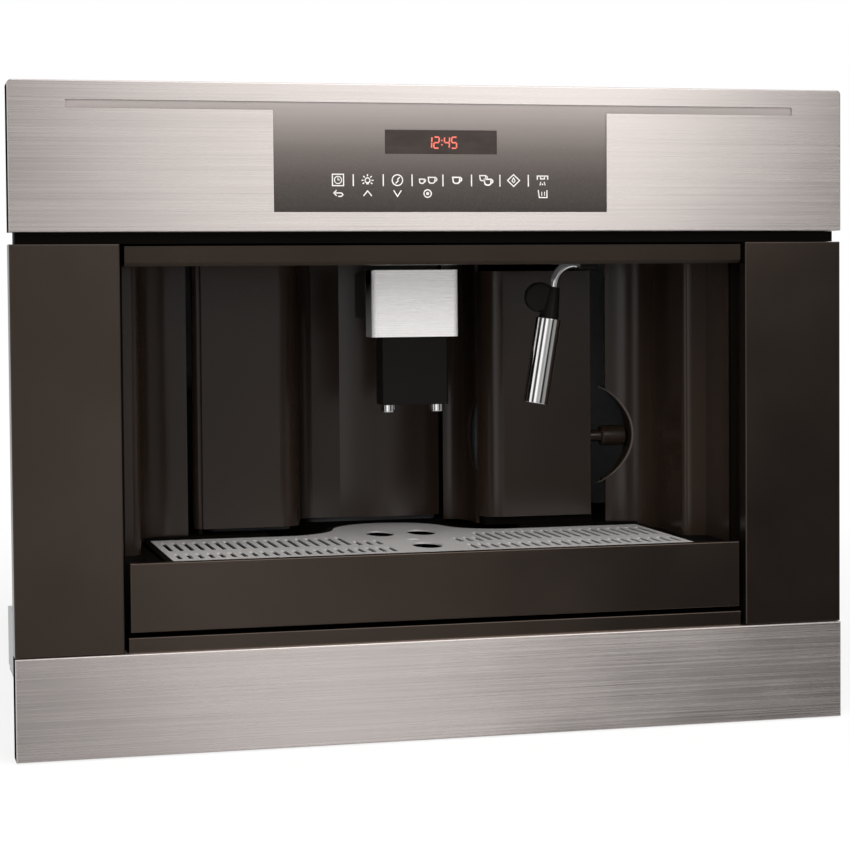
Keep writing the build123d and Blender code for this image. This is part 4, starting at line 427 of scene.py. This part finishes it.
def stroke(bm, points, width=LINE, closed=False, depth=PRINT_D):
    """A flat raised line through points (x, z) on the control field."""
    count = len(points)
    left, right = [], []
    for i, (x, z) in enumerate(points):
        before = points[i - 1] if (i > 0 or closed) else None
        after = points[(i + 1) % count] if (i < count - 1 or closed) else None
        directions = []
        for a, b in ((before, (x, z)), ((x, z), after)):
            if a is not None and b is not None:
                v = Vector((b[0] - a[0], b[1] - a[1]))
                if v.length > 1e-9:
                    directions.append(v.normalized())
        mean = sum(directions, Vector((0, 0)))
        if mean.length < 1e-6:
            mean = directions[0]
        mean.normalize()
        side = Vector((-mean.y, mean.x))
        reach = width / 2 / max(0.5, abs(mean.dot(directions[0])))
        left.append((x + side.x * reach, z + side.y * reach))
        right.append((x - side.x * reach, z - side.y * reach))
    rows = []
    for a, b in zip(left, right):
        corners = ((a, depth), (b, depth), (b, depth + PRINT_T), (a, depth + PRINT_T))
        rows.append([bm.verts.new(place(p[0], d, p[1])) for p, d in corners])
    last = count if closed else count - 1
    for i in range(last):
        one, two = rows[i], rows[(i + 1) % count]
        for k in range(4):
            bm.faces.new((one[k], one[(k + 1) % 4], two[(k + 1) % 4], two[k]))
    if not closed:
        bm.faces.new(rows[0][::-1])
        bm.faces.new(rows[-1])


def ring(x, z, r, steps=24, start=0.0, end=360.0):
    count = steps + (0 if end - start >= 360 else 1)
    return [turned(x, z, r, start + (end - start) * i / steps) for i in range(count)]


def disc(bm, x, z, r, depth=PRINT_D):
    outline = ring(x, z, r, 12)
    front = [bm.verts.new(place(px, depth, pz)) for px, pz in outline]
    back = [bm.verts.new(place(px, depth + PRINT_T, pz)) for px, pz in outline]
    bm.faces.new(front)
    bm.faces.new(back[::-1])
    for i in range(len(outline)):
        j = (i + 1) % len(outline)
        bm.faces.new((front[i], back[i], back[j], front[j]))


def cup(bm, x, z, size, width=LINE):
    """A cup seen from the side, with its handle to the right."""
    w, h = size, size * 0.8
    stroke(bm, [(x - w / 2, z + h / 2), (x + w / 2, z + h / 2), (x + w * 0.42, z - h * 0.3),
                (x + w * 0.2, z - h / 2), (x - w * 0.2, z - h / 2), (x - w * 0.42, z - h * 0.3)],
           width, True)
    stroke(bm, ring(x + w / 2, z + h * 0.15, size * 0.24, 8, -80, 90), width * 0.85)


def clock(bm, x, z):
    half = 3.9
    stroke(bm, [(x - half, z - half), (x + half, z - half), (x + half, z + half), (x - half, z + half)],
           closed=True)
    stroke(bm, ring(x, z, 2.5), LINE * 0.8, True)
    stroke(bm, [(x, z + 1.7), (x, z), (x + 1.3, z)], LINE * 0.7)


def light(bm, x, z):
    """A lamp with rays."""
    stroke(bm, ring(x, z - 0.2, 1.7), closed=True)
    stroke(bm, [(x - 0.9, z - 2.6), (x + 0.9, z - 2.6)])
    for angle in (0, 45, 90, 135, 180, 215, 325):
        stroke(bm, [turned(x, z - 0.2, 2.8, angle), turned(x, z - 0.2, 4.2, angle)])


def bean(bm, x, z):
    stroke(bm, ring(x, z, 3.7), closed=True)
    stroke(bm, [(x + 1.7, z + 2.1), (x + 0.2, z + 0.7), (x + 0.5, z - 0.6), (x - 1.3, z - 2.2)])


def cup_size(bm, x, z):
    cup(bm, x - 3.5, z - 0.7, 3.6)
    cup(bm, x + 3.5, z, 5.0)


def one_cup(bm, x, z):
    cup(bm, x, z, 5.2, 0.95)


def two_cups(bm, x, z):
    cup(bm, x - 1.8, z + 1.6, 4.4)
    cup(bm, x + 1.8, z - 1.2, 5.0, 0.95)


def strength(bm, x, z):
    """A drop in a diamond."""
    stroke(bm, [(x - 4.4, z), (x, z - 4.1), (x + 4.4, z), (x, z + 4.1)], closed=True)
    stroke(bm, [(x, z + 1.8), (x + 1.2, z - 0.2), (x, z - 1.5), (x - 1.2, z - 0.2)], LINE * 0.8, True)


def hot_water(bm, x, z):
    """An outlet with two jets."""
    stroke(bm, [(x - 3.8, z + 0.6), (x - 3.8, z + 3.2), (x + 3.8, z + 3.2), (x + 3.8, z + 0.6)])
    stroke(bm, [(x - 1.4, z + 3.2), (x - 1.4, z + 1.2), (x + 1.4, z + 1.2), (x + 1.4, z + 3.2)])
    for side in (-1, 1):
        stroke(bm, [(x + 1.2 * side, z - 0.8), (x + 1.9 * side, z - 3.4)], LINE * 0.8)
    disc(bm, x, z - 2.6, 0.55)


def jug(bm, x, z):
    stroke(bm, [(x - 3.6, z + 2.6), (x - 2.8, z - 2.6), (x + 2.8, z - 2.6), (x + 2.8, z + 2.6)])
    for side in (-1.0, 1.0):
        stroke(bm, [(x + side, z - 1.4), (x + side, z + 1.4)], LINE * 0.7)


def back(bm, x, z):
    stroke(bm, [(x - 1.2, z + 2.2), (x - 3.2, z + 0.3), (x - 1.2, z - 1.6)])
    stroke(bm, [(x - 3.0, z + 0.3), (x + 2.2, z + 0.3), (x + 3.2, z - 0.8), (x + 2.2, z - 2.0),
                (x - 0.2, z - 2.0)])


def up(bm, x, z):
    stroke(bm, [(x - 2.9, z - 1.7), (x, z + 1.8), (x + 2.9, z - 1.7)])


def down(bm, x, z):
    stroke(bm, [(x - 2.7, z + 2.2), (x, z - 2.0), (x + 2.7, z + 2.2)])


def confirm(bm, x, z):
    """A dot in a ring."""
    stroke(bm, ring(x, z, 2.6), closed=True)
    disc(bm, x, z, 1.1)


SYMBOLS = (
    (clock, -74.2, UPPER_ROW),
    (light, -53.5, UPPER_ROW),
    (bean, -32.4, UPPER_ROW),
    (cup_size, -11.5, UPPER_ROW),
    (one_cup, 9.6, UPPER_ROW),
    (two_cups, 30.4, UPPER_ROW),
    (strength, 50.9, UPPER_ROW),
    (hot_water, 72.0, UPPER_ROW),
    (jug, 72.4, LOWER_ROW),
    (back, -74.0, LOWER_ROW),
    (up, -53.5, LOWER_ROW),
    (down, -32.4, LOWER_ROW),
    (confirm, -11.0, LOWER_ROW),
)
SEPARATORS = (-63.5, -42.4, -22.0, 0.0, 20.5, 41.0, 61.6)


def print_mark(name, bm):
    finish_piece(add_mesh(name, bm), SYMBOL, "machine")


def symbols():
    for draw, x, z in SYMBOLS:
        bm = bmesh.new()
        draw(bm, x, z)
        print_mark("symbol_" + draw.__name__, bm)
    bm = bmesh.new()
    for x in SEPARATORS:
        stroke(bm, [(x, UPPER_ROW - 4.2), (x, UPPER_ROW + 4.0)], 0.8)
    print_mark("key_separators", bm)


SEGMENTS = {"0": "abcdef", "1": "bc", "2": "abged", "3": "abgcd", "4": "fgbc", "5": "afgcd",
            "6": "afgedc", "7": "abc", "8": "abcdefg", "9": "abcdfg"}
FIGURE_W, FIGURE_H, FIGURE_LINE = 3.6, 7.6, 0.95
FIGURE_LEAN = 0.35        # how far a figure's top leans to the right
FIGURE_PITCH = 5.2
COLON_PITCH = 2.2


def figure_lines():
    """The ends of each segment, from the figure's lower left corner."""
    w, h, gap = FIGURE_W, FIGURE_H, 0.25
    return {
        "a": ((gap, h), (w - gap, h)),
        "b": ((w, h - gap), (w, h / 2 + gap)),
        "c": ((w, h / 2 - gap), (w, gap)),
        "d": ((gap, 0), (w - gap, 0)),
        "e": ((0, h / 2 - gap), (0, gap)),
        "f": ((0, h - gap), (0, h / 2 + gap)),
        "g": ((gap, h / 2), (w - gap, h / 2)),
    }


def digits(text, x, z):
    """Seven-segment figures on the smoked window."""
    bm = bmesh.new()
    lines = figure_lines()
    for figure in text:
        if figure == ":":
            for height in (0.3, 0.7):
                disc(bm, x + 0.6, z + FIGURE_H * height, 0.55, FIGURE_D)
            x += COLON_PITCH
            continue
        for segment in SEGMENTS[figure]:
            points = [(x + px + FIGURE_LEAN * pz / FIGURE_H, z + pz) for px, pz in lines[segment]]
            stroke(bm, points, FIGURE_LINE, depth=FIGURE_D)
        x += FIGURE_PITCH
    finish_piece(add_mesh("display_digits", bm), RED_GLOW, "machine")


symbols()
digits("12:45", -11.6, 411.5)


# ---------------------------------------------------------------- rim of the right finger scoop
SCOOP_X, SCOOP_Z = 150.5, 199.5
RIM_R = 39.9              # middle of the bead, just inside the scoop's edge
RIM_SINK = 0.5            # bead's middle behind the wall's surface
RIM_BEAD = 1.1            # the bead's radius
RIM_REACH = 72.0          # degrees up and down from level
BACK_D = 158.0            # the bay's flat back
CORNER_X, CORNER_R = 170.0, 33.0    # where its round corner to the right side starts


def bead(name, points, out, radius):
    """A round bead along points; out holds the matching directions away from the scoop's middle."""
    bm = bmesh.new()
    count, sides = len(points), 10
    turns = [2 * math.pi * k / sides for k in range(sides)]
    rows = []
    for i, point in enumerate(points):
        along = (points[min(i + 1, count - 1)] - points[max(i - 1, 0)]).normalized()
        first = (out[i] - along * out[i].dot(along)).normalized()
        second = along.cross(first)
        slim = min(1.0, 0.15 + 3.0 * min(i, count - 1 - i) / count)     # the ends run out thin
        reach = radius * slim / 1000
        rows.append([bm.verts.new(point + (first * math.cos(a) + second * math.sin(a)) * reach)
                     for a in turns])
    for one, two in zip(rows, rows[1:]):
        for k in range(sides):
            bm.faces.new((one[k], one[(k + 1) % sides], two[(k + 1) % sides], two[k]))
    bm.faces.new(rows[0][::-1])
    bm.faces.new(rows[-1])
    bmesh.ops.recalc_face_normals(bm, faces=bm.faces)
    # The bead's lighter plastic is a painted highlight.
    finish_piece(add_mesh(name, bm), RIM_PAINTED_HIGHLIGHT, "machine", smooth=True)


def wall_depth(x):
    """Depth of the bay's wall at x: flat at the back, then round towards the right side."""
    turn = x - CORNER_X
    if turn <= 0:
        return BACK_D
    return BACK_D - CORNER_R + math.sqrt(CORNER_R ** 2 - turn ** 2)


def scoop_rim():
    points, out = [], []
    for x, z in ring(SCOOP_X, SCOOP_Z, RIM_R, 60, -RIM_REACH, RIM_REACH):
        points.append(place(x, wall_depth(x) + RIM_SINK, z))
        out.append(Vector(((x - SCOOP_X) / RIM_R, 0.0, (z - SCOOP_Z) / RIM_R)))
    bead("scoop_rim_right", points, out, RIM_BEAD)


scoop_rim()


# ---------------------------------------------------------------- stage and light
WORLD_LEVEL = 0.45        # what diffuse surfaces see all round
REST_LEVEL = 0.6          # what gloss sees behind the object
BOX_REACH = 100.0         # degrees to each side that BANDS hold
BOX_PEAK = 3.0            # brightest value in BANDS
# What gloss sees, as (degrees to the right of the front, brightness). Each row of BANDS starts with its
# elevation in degrees, and the rows near eye level share the stripes at the sides.
LEFT_STRIPES = ((-100, 0.60), (-92, 0.95), (-62, 0.95), (-55, 0.06), (-40, 0.06), (-33, 1.05), (-20, 1.05))
RIGHT_STRIPES = ((32, 0.02), (40, 0.22), (52, 0.28), (86, 0.28), (94, 0.45))
BANDS = (
    (-38.0, ((-100, 0.60), (-10, 0.50), (9, 0.45), (14, 0.30), (18, 0.02), (27, 0.02), (40, 0.70),
             (100, 0.70))),
    (-14.0, LEFT_STRIPES + ((-12, 0.35), (-2, 0.25), (3, 0.10), (7, 0.32), (11, 0.80), (15, 0.75),
                            (18, 0.03), (22, 0.01)) + RIGHT_STRIPES),
    (-5.0, LEFT_STRIPES + ((-12, 0.60), (-2, 0.60), (3, 0.42), (7, 0.58), (11, 0.42), (15, 0.25),
                           (18, 0.02), (22, 0.01)) + RIGHT_STRIPES),
    (5.0, LEFT_STRIPES + ((-12, 0.32), (-2, 0.22), (3, 0.15), (7, 0.50), (11, 0.65), (15, 0.70),
                          (19, 1.25), (22, 0.20), (25, 0.02)) + RIGHT_STRIPES),
    (14.0, LEFT_STRIPES + ((-12, 0.10), (-2, 0.05), (3, 0.35), (7, 1.27), (11, 2.05), (15, 2.50),
                           (19, 3.00), (22, 2.95), (25, 1.30), (29, 0.10)) + RIGHT_STRIPES),
    (35.0, ((-100, 0.65), (-60, 0.40), (-12, 0.20), (-2, 0.15), (3, 0.80), (7, 2.00), (11, 2.90),
            (15, 2.80), (22, 2.60), (25, 2.20), (29, 1.10), (38, 0.20), (60, 0.30), (100, 0.65))),
    (75.0, ((-100, 0.85), (100, 0.85))),
)
FLOOR_COLOUR = (0.92, 0.92, 0.92)
FLOOR_GLOW = 0.75         # share of plain white near the object, where its shadow still shows
GLOW_NEAR, GLOW_FAR = 0.45, 1.3    # metres from the middle over which it turns plain white


def stage_material():
    """Pale floor that the camera, metal and glass see as almost white."""
    g = Graph("pale_floor")
    grain = g.noise(g.where, 40.0, 3.0)
    paint = g.ramp(grain, (0.3, shade(FLOOR_COLOUR, 0.99)), (0.7, FLOOR_COLOUR))
    g.link(paint, g.bsdf.inputs["Base Color"])
    g.set(Roughness=0.9, Specular_IOR_Level=0.1)
    glow = g.tree.nodes.new("ShaderNodeEmission")
    glow.inputs["Strength"].default_value = 1.0
    glow.inputs["Color"].default_value = (1, 1, 1, 1)
    path = g.tree.nodes.new("ShaderNodeLightPath")
    direct = g.math("MAXIMUM", path.outputs["Is Camera Ray"], path.outputs["Is Glossy Ray"])
    seen = g.math("MAXIMUM", direct, path.outputs["Is Transmission Ray"])
    reach = g.tree.nodes.new("ShaderNodeVectorMath")
    reach.operation = "LENGTH"
    g.link(g.where, reach.inputs[0])
    share = g.remap(reach.outputs["Value"], GLOW_NEAR, GLOW_FAR, FLOOR_GLOW, 1.0)
    blend = g.tree.nodes.new("ShaderNodeMixShader")
    g.link(g.math("MULTIPLY", seen, share), blend.inputs["Fac"])
    g.link(g.bsdf.outputs[0], blend.inputs[1])
    g.link(glow.outputs[0], blend.inputs[2])
    g.link(blend.outputs[0], g.output.inputs["Surface"])
    return g.material


def make_stage():
    bm = bmesh.new()
    bmesh.ops.create_grid(bm, x_segments=8, y_segments=8, size=15.0)
    floor = add_mesh("floor", bm)
    floor.data.materials.append(stage_material())
    floor.visible_glossy = False


def make_world():
    """White all round for the camera, soft grey for diffuse light, a wide soft box for gloss."""
    world = bpy.data.worlds.new("studio")
    bpy.context.scene.world = world
    world.use_nodes = True
    tree = world.node_tree
    background = tree.nodes["Background"]
    background.inputs["Color"].default_value = (1.0, 1.0, 1.0, 1.0)

    def node(kind, **values):
        made = tree.nodes.new(kind)
        for key, value in values.items():
            setattr(made, key, value)
        return made

    def join(source, target):
        tree.links.new(source, target)

    def maths(kind, a, b):
        made = node("ShaderNodeMath", operation=kind)
        for number, value in enumerate((a, b)):
            if isinstance(value, (int, float)):
                made.inputs[number].default_value = value
            else:
                join(value, made.inputs[number])
        return made.outputs[0]

    def band(value, stops):
        span = node("ShaderNodeMapRange")
        span.inputs["From Min"].default_value = -BOX_REACH
        span.inputs["From Max"].default_value = BOX_REACH
        join(value, span.inputs["Value"])
        made = node("ShaderNodeValToRGB")
        while len(made.color_ramp.elements) < len(stops):
            made.color_ramp.elements.new(0.5)
        for element, (spot, level) in zip(made.color_ramp.elements, stops):
            element.position = (spot + BOX_REACH) / (2 * BOX_REACH)
            element.color = (*(level / BOX_PEAK,) * 3, 1.0)
        join(span.outputs["Result"], made.inputs["Fac"])
        return made.outputs["Color"]

    def share(value, low, high):
        span = node("ShaderNodeMapRange", interpolation_type="SMOOTHSTEP")
        span.inputs["From Min"].default_value = low
        span.inputs["From Max"].default_value = high
        join(value, span.inputs["Value"])
        return span.outputs["Result"]

    def blend(factor, a, b):
        made = node("ShaderNodeMix", data_type="RGBA")
        join(factor, made.inputs["Factor"])
        for socket, value in zip([each for each in made.inputs if each.type == "RGBA"], (a, b)):
            join(value, socket)
        return [each for each in made.outputs if each.type == "RGBA"][0]

    split = node("ShaderNodeSeparateXYZ")
    join(node("ShaderNodeTexCoord").outputs["Generated"], split.inputs[0])
    degree = 180.0 / math.pi
    turn = maths("ARCTAN2", split.outputs["X"], maths("MULTIPLY", split.outputs["Y"], -1.0))
    turn = maths("MULTIPLY", turn, degree)
    height = maths("MULTIPLY", maths("ARCSINE", split.outputs["Z"], 0.0), degree)
    gloss = band(turn, BANDS[0][1])
    for (low, _), (high, stops) in zip(BANDS, BANDS[1:]):
        gloss = blend(share(height, low, high), gloss, band(turn, stops))
    behind = share(maths("ABSOLUTE", turn, 0.0), 0.8 * BOX_REACH, 1.1 * BOX_REACH)
    gloss = maths("MULTIPLY", gloss, BOX_PEAK)
    gloss = maths("ADD", maths("MULTIPLY", gloss, maths("SUBTRACT", 1.0, behind)),
                  maths("MULTIPLY", behind, REST_LEVEL))
    path = node("ShaderNodeLightPath")
    clear = maths("MAXIMUM", path.outputs["Is Camera Ray"], path.outputs["Is Transmission Ray"])
    open_level = maths("ADD", WORLD_LEVEL, maths("MULTIPLY", clear, 1.0 - WORLD_LEVEL))
    glossy = maths("MULTIPLY", path.outputs["Is Glossy Ray"], maths("SUBTRACT", 1.0, clear))
    last = maths("ADD", maths("MULTIPLY", open_level, maths("SUBTRACT", 1.0, glossy)),
                 maths("MULTIPLY", glossy, gloss))
    join(last, background.inputs["Strength"])


def area_light(name, spot, target, size, power):
    data = bpy.data.lights.new(name, "AREA")
    data.shape = "RECTANGLE"
    data.size, data.size_y = size
    data.energy = power
    lamp = bpy.data.objects.new(name, data)
    bpy.context.scene.collection.objects.link(lamp)
    lamp.location = spot
    lamp.visible_glossy = False
    lamp.rotation_euler = (Vector(target) - Vector(spot)).to_track_quat("-Z", "Y").to_euler()


make_stage()
make_world()
area_light("top_light", spot=(0.1, -1.25, 1.75), target=(0, -0.12, 0.13), size=(1.5, 1.0), power=26)
area_light("key_light", spot=(-1.5, -2.6, 1.5), target=(0, 0, 0.25), size=(1.8, 1.8), power=46)
area_light("fill_light", spot=(2.2, -2.0, 1.6), target=(0, 0, 0.2), size=(1.6, 1.6), power=14)

scene = bpy.context.scene
scene.view_settings.view_transform = "Standard"
